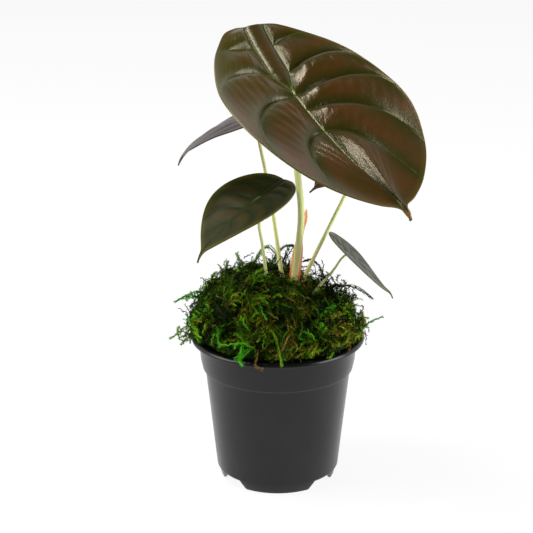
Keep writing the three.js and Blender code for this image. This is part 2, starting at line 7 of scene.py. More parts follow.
import bpy
import numpy as np
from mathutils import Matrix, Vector


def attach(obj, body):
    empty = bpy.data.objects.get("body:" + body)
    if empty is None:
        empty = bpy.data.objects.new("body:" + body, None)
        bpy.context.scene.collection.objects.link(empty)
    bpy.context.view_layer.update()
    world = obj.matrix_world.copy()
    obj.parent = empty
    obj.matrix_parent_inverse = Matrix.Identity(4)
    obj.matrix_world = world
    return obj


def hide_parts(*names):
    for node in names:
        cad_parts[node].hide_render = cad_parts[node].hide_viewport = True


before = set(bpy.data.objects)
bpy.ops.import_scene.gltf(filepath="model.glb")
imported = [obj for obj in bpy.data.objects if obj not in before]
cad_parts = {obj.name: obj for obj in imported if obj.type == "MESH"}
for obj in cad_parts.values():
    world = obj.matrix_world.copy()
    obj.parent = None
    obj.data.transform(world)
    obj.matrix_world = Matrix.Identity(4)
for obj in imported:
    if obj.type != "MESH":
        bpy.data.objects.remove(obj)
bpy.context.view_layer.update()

logging.basicConfig(level=logging.INFO, format="%(message)s")
log = logging.getLogger("alocasia")

MM = 0.001  # A millimetre in Blender's metres
FAR = 1e9  # Farther than any distance here
TINY = 1e-9  # Keeps a division from zero
SPAN_SAMPLES = 24  # Samples between two points of a curve
Pair = tuple[float, float]
Place = tuple[float, float, float]
Colour = tuple[float, float, float]
Points = np.ndarray


# Modelling by operators

def select_only(*pieces: bpy.types.Object) -> None:
    """Select these pieces and nothing else, and make the last one active.

    Args:
        pieces: Objects to select.
    """
    bpy.ops.object.select_all(action="DESELECT")
    for piece in pieces:
        piece.select_set(True)
        bpy.context.view_layer.objects.active = piece


def apply_modifier(piece: bpy.types.Object, kind: str, **settings: object) -> None:
    """Add one modifier to a piece and apply it.

    Args:
        piece: Object to change.
        kind: Blender's name of the modifier type.
        settings: Values of the modifier's properties.
    """
    modifier = piece.modifiers.new(kind.title(), kind)
    for key, value in settings.items():
        setattr(modifier, key, value)
    select_only(piece)
    bpy.ops.object.modifier_apply(modifier=modifier.name)


def open_mesh(piece: bpy.types.Object, action: str = "DESELECT") -> None:
    """Open a piece for editing by its edges, with nothing or all of it selected.

    Args:
        piece: Object to open.
        action: Blender's name of what happens to the selection.
    """
    select_only(piece)
    bpy.ops.object.mode_set(mode="EDIT")
    bpy.ops.mesh.select_mode(type="EDGE")
    bpy.ops.mesh.select_all(action=action)


def close_mesh() -> None:
    """Go back from editing a mesh to whole objects."""
    bpy.ops.object.mode_set(mode="OBJECT")


def vertex_array(piece: bpy.types.Object) -> Points:
    """Return a piece's vertices as an array of rows of three."""
    co = np.empty(len(piece.data.vertices) * 3)
    piece.data.vertices.foreach_get("co", co)
    return co.reshape(-1, 3)


def place_vertices(piece: bpy.types.Object, co: Points) -> None:
    """Put a piece's vertices at the rows of an array, in metres."""
    piece.data.vertices.foreach_set("co", np.ascontiguousarray(co, dtype=float).ravel())
    piece.data.update()


def store(piece: bpy.types.Object, name: str, values: Points) -> None:
    """Keep one number per vertex on a piece, for its finish to read.

    Args:
        piece: Object whose mesh takes the attribute.
        name: Attribute's name.
        values: One number per vertex.
    """
    layer = piece.data.attributes.new(name, "FLOAT", "POINT")
    layer.data.foreach_set("value", np.ascontiguousarray(values, dtype=np.float32).ravel())


def store_uv(piece: bpy.types.Object, name: str, uv: Points) -> None:
    """Lay a UV map on a piece from one pair of numbers per vertex.

    Args:
        piece: Object whose mesh takes the map.
        name: Map's name.
        uv: Two numbers per vertex.
    """
    layer = piece.data.uv_layers.new(name=name)
    corner = np.empty(len(piece.data.loops), dtype=np.int32)
    piece.data.loops.foreach_get("vertex_index", corner)
    layer.data.foreach_set("uv", np.ascontiguousarray(uv[corner], dtype=np.float32).ravel())


def added(name: str) -> bpy.types.Object:
    """Return the object that was just added, under a name."""
    piece = bpy.context.object
    piece.name = piece.data.name = name
    return piece


def dress(piece: bpy.types.Object, *materials: bpy.types.Material) -> None:
    """Give a piece its materials, in place of any that it has."""
    piece.data.materials.clear()
    for material in materials:
        piece.data.materials.append(material)


def merge_close(piece: bpy.types.Object, distance: float = 2e-6) -> None:
    """Merge a piece's coinciding vertices and drop what that collapses."""
    open_mesh(piece, "SELECT")
    bpy.ops.mesh.remove_doubles(threshold=distance)
    bpy.ops.mesh.dissolve_degenerate(threshold=distance)
    close_mesh()


def face_outwards(piece: bpy.types.Object) -> None:
    """Turn all faces of a closed piece outwards."""
    open_mesh(piece, "SELECT")
    bpy.ops.mesh.normals_make_consistent(inside=False)
    close_mesh()


def cut_rings(piece: bpy.types.Object, cuts: int) -> None:
    """Cut the upright edges of a column one unit tall, so that it has rings of vertices.

    Args:
        piece: Column to cut.
        cuts: How many cuts each edge takes.
    """
    open_mesh(piece)
    close_mesh()
    heights = vertex_array(piece)[:, 2]
    for edge in piece.data.edges:
        low, high = (heights[end] for end in edge.vertices)
        edge.select = bool(abs(high - low) > 0.5)
    bpy.ops.object.mode_set(mode="EDIT")
    bpy.ops.mesh.subdivide(number_cuts=cuts)
    close_mesh()


def present(piece: bpy.types.Object, node: str, degrees: float) -> None:
    """Smooth a finished piece, hand it to the frame and report it.

    Args:
        piece: Finished object.
        node: Node that the piece stands for.
        degrees: Edges sharper than this angle stay sharp.
    """
    select_only(piece)
    bpy.ops.object.shade_smooth_by_angle(angle=math.radians(degrees))
    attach(piece, "root")
    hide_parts(node)
    triangles = sum(len(face.vertices) - 2 for face in piece.data.polygons)
    log.info("%s: %d triangles", piece.name, triangles)


def unit(rows: Points) -> Points:
    """Return vectors scaled to length 1."""
    return rows / np.linalg.norm(rows, axis=-1, keepdims=True)


def square_to(rows: Points, axes: Points) -> Points:
    """Return vectors without their parts along some axes of length 1."""
    return rows - axes * np.sum(rows * axes, axis=-1, keepdims=True)


def smoothstep(values: Points, low: float, high: float) -> Points:
    """Return a soft step from 0 at low to 1 at high."""
    share = np.clip((values - low) / (high - low), 0.0, 1.0)
    return share * share * (3.0 - 2.0 * share)


def through_points(points: Points, samples: int, even: bool = False) -> Points:
    """Sample a Catmull-Rom curve through points, evenly by length.

    Args:
        points: Points on the curve, one per row.
        samples: How many samples to return.
        even: Give each span the same share of the curve's parameter, whatever its length.

    Returns:
        Samples, one per row.
    """
    spans = len(points) - 1
    power = 0.0 if even else 0.5
    onward = 0.0 if even else 1.0
    padded = [points[0] + onward * (points[0] - points[1]), *points,
              points[-1] + onward * (points[-1] - points[-2])]
    dense = []
    for i in range(spans):
        p0, p1, p2, p3 = padded[i:i + 4]
        d0, d1, d2 = (max(np.linalg.norm(b - a), TINY) ** power for a, b in ((p0, p1), (p1, p2), (p2, p3)))
        t1 = ((p1 - p0) / d0 - (p2 - p0) / (d0 + d1) + (p2 - p1) / d1) * d1
        t2 = ((p2 - p1) / d1 - (p3 - p1) / (d1 + d2) + (p3 - p2) / d2) * d1
        s = np.linspace(0, 1, SPAN_SAMPLES, endpoint=i == spans - 1)[:, None]
        dense.append((2 * s**3 - 3 * s**2 + 1) * p1 + (s**3 - 2 * s**2 + s) * t1
                     + (3 * s**2 - 2 * s**3) * p2 + (s**3 - s**2) * t2)
    line = np.concatenate(dense)
    length = np.concatenate([[0], np.cumsum(np.linalg.norm(np.diff(line, axis=0), axis=1))])
    at = np.linspace(0, length[-1], samples)
    return np.stack([np.interp(at, length, line[:, axis]) for axis in range(line.shape[1])], axis=1)


# Finishes

class Wiring:
    """A node tree that is wired by short calls, each of which returns a socket."""

    def __init__(self, tree: bpy.types.NodeTree) -> None:
        """Take up the tree that the nodes go into."""
        self.tree = tree

    def plug(self, socket: bpy.types.NodeSocket, value: object) -> None:
        """Link a socket to another, or set its value."""
        if isinstance(value, bpy.types.NodeSocket):
            self.tree.links.new(value, socket)
        elif isinstance(value, tuple) and len(value) == 3 and socket.type == "RGBA":
            socket.default_value = (*value, 1.0)
        else:
            socket.default_value = value

    def add(self, kind: str, inputs: dict | None = None, **settings: object) -> bpy.types.Node:
        """Add a node.

        Args:
            kind: Blender's name of the node's type, without its first word.
            inputs: Sockets or values for its inputs, by name or number.
            settings: Values of the node's properties.

        Returns:
            The new node.
        """
        node = self.tree.nodes.new("ShaderNode" + kind)
        for key, value in settings.items():
            setattr(node, key, value)
        for key, value in (inputs or {}).items():
            self.plug(node.inputs[key], value)
        return node

    def math(self, operation: str, a: object, b: object = 0.5) -> bpy.types.NodeSocket:
        """Return the result of an arithmetic operation on two values."""
        return self.add("Math", {0: a, 1: b}, operation=operation).outputs[0]

    def step(self, value: object, low: float, high: float, start: float = 0.0,
             end: float = 1.0) -> bpy.types.NodeSocket:
        """Return a soft step of a value between two limits.

        Args:
            value: Value that is read.
            low: Where the step starts.
            high: Where it ends.
            start: Result below the step.
            end: Result above it.

        Returns:
            Socket with the result.
        """
        inputs = dict(enumerate((value, low, high, start, end)))
        return self.add("MapRange", inputs, interpolation_type="SMOOTHSTEP").outputs[0]


class Shader(Wiring):
    """A material with one surface shader."""

    def __init__(self, name: str) -> None:
        """Start the material.

        Args:
            name: Material's name.
        """
        self.material = bpy.data.materials.new(name)
        self.material.use_nodes = True
        super().__init__(self.material.node_tree)
        self.tree.nodes.clear()
        self.surface = self.add("BsdfPrincipled")
        self.add("OutputMaterial", {"Surface": self.surface.outputs[0]})

    def set(self, **inputs: object) -> None:
        """Set or link the surface shader's inputs, named with underscores for spaces."""
        for key, value in inputs.items():
            self.plug(self.surface.inputs[key.replace("_", " ")], value)

    def attribute(self, name: str) -> bpy.types.NodeSocket:
        """Return one of the mesh's stored numbers."""
        return self.add("Attribute", attribute_name=name).outputs["Fac"]

    def uv(self, name: str) -> bpy.types.NodeSocket:
        """Return the coordinates of one of the mesh's UV maps."""
        return self.add("UVMap", uv_map=name).outputs[0]

    def place(self) -> bpy.types.NodeSocket:
        """Return the object's own coordinates, in metres."""
        return self.add("TexCoord").outputs["Object"]

    def axis(self, name: str) -> bpy.types.NodeSocket:
        """Return one of the object's own coordinates, in metres."""
        return self.add("SeparateXYZ", {0: self.place()}).outputs[name]

    def mix(self, factor: object, a: object, b: object, blend: str = "MIX") -> bpy.types.NodeSocket:
        """Return a blend of two colours.

        Args:
            factor: Share of the second colour.
            a: First colour.
            b: Second colour.
            blend: Blender's name of the blend.

        Returns:
            Socket with the blended colour.
        """
        return self.add("Mix", {0: factor, 6: a, 7: b}, data_type="RGBA", blend_type=blend).outputs[2]

    def coats(self, colour: object, *coats: tuple[str, object, float, float, float]) -> bpy.types.NodeSocket:
        """Return a colour under coats that fade out along the mesh's stored numbers.

        Args:
            colour: Colour under the coats.
            coats: Each coat's stored number and colour, where it starts to fade, where it ends and its share.

        Returns:
            Socket with the coated colour.
        """
        for name, coat, full, gone, share in coats:
            colour = self.mix(self.step(self.attribute(name), full, gone, share, 0.0), colour, coat)
        return colour

    def ramp(self, value: object, stops: tuple[tuple[float, Colour], ...]) -> bpy.types.NodeSocket:
        """Return a colour picked from a row of stops by a value from 0 to 1."""
        node = self.add("ValToRGB", {0: value})
        elements = node.color_ramp.elements
        elements.remove(elements[0])
        for index, (at, colour) in enumerate(stops):
            element = elements.new(at) if index else elements[0]
            element.position = at
            element.color = (*colour, 1.0)
        return node.outputs[0]

    def noise(self, vector: object, scale: float, detail: float = 3.0, distortion: float = 0.0,
              stretch: Colour | None = None) -> bpy.types.NodeSocket:
        """Return cloudy noise between 0 and 1.

        Args:
            vector: Coordinates that are read.
            scale: How many clouds a unit holds.
            detail: How finely they are broken up.
            distortion: How far they are drawn out of shape.
            stretch: Factors along the coordinates' axes.

        Returns:
            Socket with the noise.
        """
        if stretch:
            vector = self.add("Mapping", {"Vector": vector, "Scale": stretch}).outputs[0]
        inputs = {"Vector": vector, "Scale": scale, "Detail": detail, "Distortion": distortion}
        return self.add("TexNoise", inputs).outputs["Fac"]

    def jitter(self, value: object, noise: object, swing: float) -> bpy.types.NodeSocket:
        """Return a value moved up and down by noise, over a swing."""
        return self.math("ADD", value, self.math("MULTIPLY", self.math("SUBTRACT", noise, 0.5), swing))

    def cells(self, vector: object, scale: float) -> bpy.types.NodeSocket:
        """Return the distance from the middle of soft cells."""
        node = self.add("TexVoronoi", {"Vector": vector, "Scale": scale}, feature="SMOOTH_F1")
        return node.outputs["Distance"]

    def bump(self, height: object, depth_mm: float, strength: float = 1.0,
             normal: object = None) -> bpy.types.NodeSocket:
        """Return a normal bent by a height between 0 and 1.

        Args:
            height: Height that is read.
            depth_mm: Real depth of a full step, in millimetres.
            strength: Share of the effect.
            normal: Normal to start from, if another bump comes first.

        Returns:
            Socket with the bent normal.
        """
        inputs = {"Distance": depth_mm * MM, "Strength": strength, "Height": height}
        if normal is not None:
            inputs["Normal"] = normal
        return self.add("Bump", inputs).outputs[0]


@dataclass(frozen=True)
class LeafFinish:
    """Colours and gloss of a blade's upper face and underside.

    Reaches are millimetres in the flat blade. The patterns' scales are counted over a span of its
    UV maps, and the grain is the strength of its fine bumps.
    """

    name: str
    puff: Colour
    puff_warm: Colour
    valley: Colour
    vein: Colour
    rib: Colour
    rim: Colour
    under: Colour
    under_vein: Colour
    olive: Colour = (0.06, 0.055, 0.006)
    tip: Colour = (0.3, 0.17, 0.06)
    tip_reach: float = 7.0
    valley_reach: float = 5.0
    roughness: float = 0.24
    uneven: float = 0.1
    uneven_scale: float = 60.0
    gloss: float = 0.5
    gloss_tint: Colour = (1.0, 0.9, 0.66)
    grain: float = 0.03
    cloud_scale: float = 9.0
    warm_span: Pair = (0.38, 0.64)
    olive_span: Pair = (0.3, 0.6)
    streak_stretch: Colour = (16.0, 38.0, 1.0)
    streak_span: Pair = (0.5, 0.75)
    streak_share: float = 0.3
    valley_wander: float = 5.0
    pebble_scale: float = 260.0
    pebble_depth: float = 0.18
    under_shade: float = 0.7
    under_scale: float = 12.0
    under_roughness: float = 0.5
    under_gloss: float = 0.35
    under_relief: float = 0.5

    def upper(self) -> bpy.types.Material:
        """Return the upper face: puffs, green valleys, veins, midrib and margin."""
        shader = Shader(self.name)
        flat = shader.uv("flat")
        cloud = shader.noise(flat, self.cloud_scale, 4.0)
        streaks = shader.noise(shader.uv("veinwise"), 1.0, 3.0, 0.8, self.streak_stretch)
        puffs = shader.mix(shader.step(cloud, *self.warm_span), self.puff, self.puff_warm)
        greened = shader.step(streaks, *self.streak_span, 0.0, self.streak_share)
        puffs = shader.mix(greened, puffs, self.valley)
        from_valley = shader.jitter(shader.attribute("valley"), streaks, self.valley_wander)
        colour = shader.mix(shader.step(from_valley, 0.6, self.valley_reach), self.valley, puffs)
        patchy = shader.step(cloud, *self.olive_span, 0.95, 0.6)
        colour = shader.mix(shader.math("MULTIPLY", shader.attribute("olive"), patchy), colour, self.olive)
        midrib = shader.mix(shader.step(shader.attribute("centre"), 1.5, 9.0), self.rib, self.vein)
        colour = shader.coats(
            colour, ("rim", self.rim, 0.6, 4.0, 0.3), ("vein", self.vein, 0.6, 1.3, 0.75),
            ("rib", midrib, 0.8, 1.35, 1.0), ("rim", self.rim, 0.2, 0.6, 0.7),
            ("tip", self.tip, 0.5 * self.tip_reach, self.tip_reach, 1.0))
        inner = shader.step(shader.attribute("reach"), 0.2, 0.75, 1.0, 0.1)
        normal = shader.bump(shader.math("MULTIPLY", streaks, inner), 1.0, self.grain * 3.5)
        pebbles = shader.cells(flat, self.pebble_scale)
        normal = shader.bump(pebbles, self.pebble_depth, self.grain * 3.0, normal)
        uneven = shader.math("MULTIPLY", shader.noise(flat, self.uneven_scale, 2.0), self.uneven)
        shader.set(Base_Color=colour, Roughness=shader.math("ADD", self.roughness, uneven), Normal=normal,
                   Specular_IOR_Level=self.gloss, Specular_Tint=self.gloss_tint)
        return shader.material

    def lower(self) -> bpy.types.Material:
        """Return the underside: duller, with raised pale veins."""
        shader = Shader(self.name + "_underside")
        shade = tuple(part * self.under_shade for part in self.under)
        colour = shader.mix(shader.noise(shader.uv("flat"), self.under_scale), self.under, shade)
        colour = shader.coats(colour, ("vein", self.under_vein, 1.0, 2.4, 0.8),
                              ("rib", self.under_vein, 0.9, 1.8, 1.0))
        ridge = shader.step(shader.attribute("vein"), 0.4, 2.6, 1.0, 0.0)
        shader.set(Base_Color=colour, Roughness=self.under_roughness, Specular_IOR_Level=self.under_gloss,
                   Normal=shader.bump(ridge, self.under_relief, 0.7))
        return shader.material


@dataclass(frozen=True)
class StalkFinish:
    """Pale green stalk with faint stripes, and a yellower foot that glows with painted light."""

    name: str
    colour: Colour = (0.72, 0.8, 0.33)
    stripe: Colour = (0.66, 0.76, 0.27)
    foot: Colour = (0.86, 0.88, 0.38)
    foot_from: float = 0.15
    foot_share: float = 0.75
    # Strength of the foot's painted glow, which stands in for light through the stalk
    painted_glow: float = 0.16
    fibre_stretch: Colour = (26.0, 3.0, 1.0)
    fibre_span: Pair = (0.4, 0.62)
    fibre_depth: float = 0.07
    roughness: float = 0.42
    flesh: float = 0.3
    flesh_mm: float = 2.0

    def material(self) -> bpy.types.Material:
        """Return the stalk's material."""
        shader = Shader(self.name)
        fibres = shader.noise(shader.uv("round"), 1.0, 3.0, stretch=self.fibre_stretch)
        colour = shader.mix(shader.step(fibres, *self.fibre_span), self.colour, self.stripe)
        # The foot's mask sets both its yellower colour and its painted glow
        low = shader.step(shader.attribute("height"), self.foot_from, self.foot_share, 1.0, 0.0)
        colour = shader.mix(low, colour, self.foot)
        shader.set(Base_Color=colour, Emission_Color=colour, Roughness=self.roughness,
                   Emission_Strength=shader.math("MULTIPLY", low, self.painted_glow),
                   Normal=shader.bump(fibres, self.fibre_depth, 0.5),
                   Subsurface_Weight=self.flesh, Subsurface_Scale=self.flesh_mm * MM)
        return shader.material


@dataclass(frozen=True)
class SheathFinish:
    """Papery sheath, orange-red with paler ribs and a crimson foot, that glows evenly with painted light."""

    colour: Colour = (0.85, 0.34, 0.17)
    pale: Colour = (0.92, 0.55, 0.34)
    foot: Colour = (0.7, 0.14, 0.11)
    # Strength of the sheath's painted glow, which stands in for light through it
    painted_glow: float = 0.2
    rib_stretch: Colour = (16.0, 2.5, 1.0)
    rib_span: Pair = (0.35, 0.65)
    rib_depth: float = 0.15
    roughness: float = 0.5
    flesh: float = 0.2
    flesh_mm: float = 2.0

    def material(self) -> bpy.types.Material:
        """Return the sheath's material."""
        shader = Shader("sheath")
        ribs = shader.noise(shader.uv("round"), 1.0, 3.0, stretch=self.rib_stretch)
        colour = shader.mix(shader.step(ribs, *self.rib_span), self.colour, self.pale)
        colour = shader.coats(colour, ("height", self.foot, 0.15, 0.25, 0.9))
        # The sheath glows with painted light, in its own colour
        shader.set(Base_Color=colour, Emission_Color=colour, Emission_Strength=self.painted_glow,
                   Roughness=self.roughness, Normal=shader.bump(ribs, self.rib_depth, 0.6),
                   Subsurface_Weight=self.flesh, Subsurface_Scale=self.flesh_mm * MM)
        return shader.material


@dataclass(frozen=True)
class PlasticFinish:
    """Charcoal moulded plastic with a fine vertical drag in its gloss, and a painted highlight line at the
    collar's foot. Metres.
    """

    colour: Colour = (0.004, 0.004, 0.0043)
    worn: Colour = (0.007, 0.007, 0.0075)
    # Colour of a painted highlight line at the collar's foot
    crease_highlight: Colour = (0.045, 0.045, 0.047)
    edge_height: float = 0.0704
    edge_half: Pair = (0.0002, 0.0006)
    worn_span: Pair = (0.35, 0.75)
    roughness: Pair = (0.19, 0.29)
    gloss: float = 0.36
    drag_stretch: Colour = (260.0, 260.0, 9.0)
    drag_share: float = 0.1
    cloud_scale: float = 38.0
    grain_scale: float = 900.0

    def material(self) -> bpy.types.Material:
        """Return the pot's material."""
        shader = Shader("pot_plastic")
        place = shader.place()
        drag = shader.noise(place, 1.0, 3.0, stretch=self.drag_stretch)
        cloud = shader.noise(place, self.cloud_scale, 4.0)
        colour = shader.mix(shader.step(cloud, *self.worn_span), self.colour, self.worn)
        # Painted highlight: a thin band at edge_height is lightened, a light line along the crease under the
        # collar
        from_edge = shader.math("ABSOLUTE", shader.math("SUBTRACT", shader.axis("Z"), self.edge_height))
        colour = shader.mix(shader.step(from_edge, *self.edge_half, 0.6, 0.0), colour, self.crease_highlight)
        rough = shader.math("ADD", shader.math("MULTIPLY", drag, self.drag_share),
                            shader.step(cloud, 0.3, 0.8, *self.roughness))
        normal = shader.bump(shader.noise(place, self.grain_scale, 2.0), 0.05, 0.18)
        normal = shader.bump(drag, 0.12, 0.12, normal)
        shader.set(Base_Color=colour, Roughness=rough, Normal=normal, Specular_IOR_Level=self.gloss)
        return shader.material


@dataclass(frozen=True)
class EarthFinish:
    """Rough earthy surface: damp mix, or the bark of the rootstock."""

    name: str
    dark: Colour
    light: Colour
    grain: float
    light_span: Pair = (0.4, 0.68)
    crumb_mm: float = 1.2
    roughness: float = 0.9

    def material(self) -> bpy.types.Material:
        """Return the material."""
        shader = Shader(self.name)
        place = shader.place()
        crumbs = shader.noise(place, self.grain, 6.0)
        colour = shader.mix(shader.step(crumbs, *self.light_span), self.dark, self.light)
        shader.set(Base_Color=colour, Roughness=self.roughness, Normal=shader.bump(crumbs, self.crumb_mm, 0.8))
        return shader.material


class MossTone(Enum):
    """Colours of the moss's strands, as stops from the dullest to the brightest."""

    DEEP = ((0.0, (0.008, 0.018, 0.001)), (0.5, (0.03, 0.075, 0.002)), (1.0, (0.075, 0.19, 0.004)))
    GREEN = ((0.0, (0.04, 0.095, 0.002)), (0.6, (0.12, 0.3, 0.006)), (1.0, (0.4, 0.78, 0.03)))
    EMERALD = ((0.0, (0.03, 0.17, 0.004)), (0.6, (0.075, 0.43, 0.01)), (1.0, (0.2, 0.74, 0.035)))
    OLIVE = ((0.0, (0.075, 0.09, 0.003)), (0.6, (0.25, 0.27, 0.007)), (1.0, (0.76, 0.76, 0.06)))
    BROWN = ((0.0, (0.05, 0.03, 0.003)), (0.6, (0.2, 0.125, 0.02)), (1.0, (0.55, 0.4, 0.12)))


@dataclass(frozen=True)
class MossFinish:
    """Moss strands of one family of colours, darkened with painted shade deep inside the mound."""

    tone: MossTone
    fleck_scale: float = 420.0
    fleck_swing: float = 0.5
    shade_reach: float = 0.9
    deepest_shade: float = 0.07
    roughness: float = 0.62
    gloss: float = 0.06

    def material(self) -> bpy.types.Material:
        """Return the strands' material."""
        shader = Shader("moss_" + self.tone.name.lower())
        fleck = shader.noise(shader.place(), self.fleck_scale, 2.0)
        pick = shader.jitter(shader.attribute("tone"), fleck, self.fleck_swing)
        colour = shader.ramp(pick, self.tone.value)
        # Painted shade: the deeper a strand's stored depth, the darker its colour
        shade = shader.step(shader.attribute("depth"), 0.0, self.shade_reach, 1.0, self.deepest_shade)
        colour = shader.mix(1.0, colour, shade, "MULTIPLY")
        shader.set(Base_Color=colour, Roughness=self.roughness, Specular_IOR_Level=self.gloss)
        return shader.material


# Pot

@dataclass
class NurseryPot:
    """Thin moulded pot, 105 mm across its lip, with a notched foot ring. Millimetres."""

    lip_radius: float = 52.5
    lip_top: float = 91.0
    lip_underside: float = 88.0
    lip_back: float = 48.2
    collar_radius: float = 45.9
    collar_foot: float = 70.6
    body_top_radius: float = 44.2
    body_foot_radius: float = 37.4
    foot_line: float = 6.0
    foot_radius: float = 34.7
    wall: float = 1.2
    floor_underside: float = 6.3
    boss_radius: float = 8.5
    notch_angles: tuple[float, ...] = (-141.5, -40.0, 40.0, 141.5)
    notch_half_bottom: float = 10.9
    notch_half_top: float = 7.2
    notch_height: float = 5.2
    notch_middle: float = 36.0
    notch_depth: float = 12.0
    drain_radius: float = 3.5
    drain_depth: float = 6.0
    drain_ring: float = 25.0
    edge_softness: float = 0.22
    segments: int = 144

    def body_radius(self, height: float) -> float:
        """Return the tapered body's outer radius at a height."""
        share = (height - self.foot_line) / (self.collar_foot - self.foot_line)
        return self.body_foot_radius + share * (self.body_top_radius - self.body_foot_radius)

    def profile(self) -> list[Pair]:
        """Return the wall's closed outline as radius and height, from under the middle to over it."""
        floor_top = self.floor_underside + self.wall
        lip_back, lip_top, lip = self.lip_back, self.lip_top, self.lip_radius
        foot, foot_line, floor = self.foot_radius, self.foot_line, self.floor_underside
        body, collar, collar_foot = self.body_top_radius, self.collar_radius, self.collar_foot
        under_lip, boss, wall = self.lip_underside, self.boss_radius, self.wall
        outside = [
            (boss, 0.0), (boss + 5.0, floor), (foot - 2.4, floor), (foot - 1.6, 0.0), (foot, 0.0),
            (foot + 0.5, 0.7), (foot + 1.6, foot_line - 0.4), (self.body_radius(foot_line), foot_line + 0.5),
            (self.body_radius(30.0), 30.0), (body - 0.1, collar_foot - 2.2), (body + 0.1, collar_foot - 1.0),
            (collar - 0.1, collar_foot - 0.3), (collar, collar_foot + 0.4), (collar + 1.1, collar_foot + 5.4),
            (lip_back - 0.3, under_lip - 1.2), (lip_back, under_lip),
        ]
        rim = [
            (lip - 0.8, under_lip), (lip - 0.2, under_lip + 0.2), (lip, under_lip + 0.8), (lip, lip_top - 1.8),
            (lip - 0.3, lip_top - 0.9), (lip - 0.9, lip_top - 0.3), (lip - 1.6, lip_top - 0.05),
            (lip - 2.4, lip_top), (lip - 3.2, lip_top - 0.2), (lip_back + 0.6, lip_top - 1.5),
            (lip_back - 0.6, lip_top - 2.8), (lip_back - wall, under_lip - 0.5),
        ]
        inner_foot = self.body_radius(floor_top) - wall
        inside = [
            (collar - wall, collar_foot + 0.8), (body - wall, collar_foot - 1.2), (inner_foot, floor_top + 2.0),
            (inner_foot - 1.5, floor_top), (boss + 4.6, floor_top), (boss - 0.6, wall),
        ]
        return outside + rim + inside

    def turn_wall(self) -> bpy.types.Object:
        """Return the pot's wall, drawn up ring by ring from a circle and closed at both ends."""
        profile = self.profile()
        radius, height = profile[0]
        bpy.ops.mesh.primitive_circle_add(vertices=self.segments, radius=radius * MM,
                                          location=(0, 0, height * MM), fill_type="TRIFAN")
        pot = added("pot_shell")
        open_mesh(pot)
        bpy.ops.mesh.select_non_manifold()
        for next_radius, next_height in profile[1:]:
            rise = (next_height - height) * MM
            bpy.ops.mesh.extrude_region_move(TRANSFORM_OT_translate={"value": (0, 0, rise)})
            scale = next_radius / radius
            bpy.ops.transform.resize(value=(scale, scale, 1), center_override=(0, 0, next_height * MM))
            radius, height = next_radius, next_height
        bpy.ops.mesh.edge_face_add()
        bpy.ops.mesh.poke()
        close_mesh()
        face_outwards(pot)
        return pot

    def cut_with(self, pot: bpy.types.Object, cutter: bpy.types.Object) -> None:
        """Cut a piece out of the pot and delete the cutter."""
        select_only(cutter)
        bpy.ops.object.transform_apply(location=True, rotation=True, scale=True)
        apply_modifier(pot, "BOOLEAN", operation="DIFFERENCE", object=cutter, solver="EXACT")
        bpy.data.objects.remove(cutter)

    def notch_cutter(self, angle: float) -> bpy.types.Object:
        """Return the wedge that opens the foot ring at an angle in degrees."""
        bpy.ops.mesh.primitive_cube_add(size=1, location=(0, 0, 0))
        cutter = bpy.context.object
        co = vertex_array(cutter)
        upper = co[:, 2] > 0
        half = np.where(upper, self.notch_half_top * MM, (self.notch_half_bottom + 1) * MM)
        place_vertices(cutter, np.stack([
            self.notch_middle * MM + co[:, 0] * (self.notch_depth * MM), np.sign(co[:, 1]) * half,
            np.where(upper, self.notch_height, -1.0) * MM], axis=1))
        cutter.rotation_euler = (0, 0, math.radians(angle))
        return cutter

    def build(self) -> None:
        """Model, cut and dress the pot."""
        pot = self.turn_wall()
        for angle in self.notch_angles:
            self.cut_with(pot, self.notch_cutter(angle))
            turn = math.radians(angle)
            middle = Vector((math.cos(turn), math.sin(turn), 0)) * self.drain_ring * MM
            bpy.ops.mesh.primitive_cylinder_add(
                vertices=32, radius=self.drain_radius * MM, depth=self.drain_depth * MM,
                location=middle + Vector((0, 0, self.floor_underside * MM)))
            self.cut_with(pot, bpy.context.object)
        apply_modifier(pot, "BEVEL", width=self.edge_softness * MM, segments=2, limit_method="ANGLE",
                       angle_limit=math.radians(50))
        dress(pot, PlasticFinish().material())
        present(pot, "pot", 32)


# Blades

@dataclass(frozen=True)
class SideVein:
    """A side vein: where it leaves the midrib and meets the margin, and how it bows.

    Start, end and dip are millimetres along the blade at full size, and reach is the share of the
    way out where the bow is widest.
    """

    start: float
    end: float
    dip: float
    reach: float


GREAT_LEFT = [
    (6.4, -57.3), (15, -54.2), (26, -44.3), (37.8, -30), (46, -15.4), (51.4, 0.4), (54.9, 18), (56, 32),
    (54, 46.7), (48.3, 62.3), (39.3, 79), (26, 94.5), (13, 104.8), (5, 109), (2.2, 112), (1.7, 115.5),
    (0, 119.5),
]
GREAT_RIGHT = [
    (6.4, -57.3), (12.5, -57.2), (21, -53.6), (29, -44), (37.2, -32), (44, -18.6), (50, -5), (54.4, 8),
    (56, 22), (55.4, 36), (51.8, 51), (46.6, 66), (38.5, 81), (26, 95), (12, 106), (4.6, 109.6),
    (2.1, 112.2), (1.6, 115.5), (0, 119.5),
]
GREAT_VEINS_LEFT = [
    SideVein(-39, -40.5, 7, 0.5), SideVein(-15, 5, 18, 0.83), SideVein(5, 36, 16, 0.97),
    SideVein(18, 71, 4, 1.03), SideVein(38, 95, 1, 0.96),
]
GREAT_VEINS_RIGHT = [
    SideVein(-39, -36, 4, 0.5), SideVein(-15, 8, 12, 0.61), SideVein(5, 62, 0, 0.8),
    SideVein(38, 92, 0, 0.73),
]
YOUNG_LENGTH = 50.0
YOUNG_HALF = [
    (2, -21.5), (8.5, -21), (15.5, -16.5), (20.5, -9.5), (24, -1.5), (26, 7), (26, 15.5), (23.3, 24),
    (18.3, 32), (12, 39.5), (5.6, 45.5), (2, 49), (0.9, 52), (0, 56),
]
YOUNG_VEINS = [
    SideVein(-13, -12, 3, 0.5), SideVein(-5, 4, 5, 0.7), SideVein(4, 19, 3, 0.85), SideVein(13, 31, 1, 0.9),
    SideVein(25, 41, 0, 0.85),
]


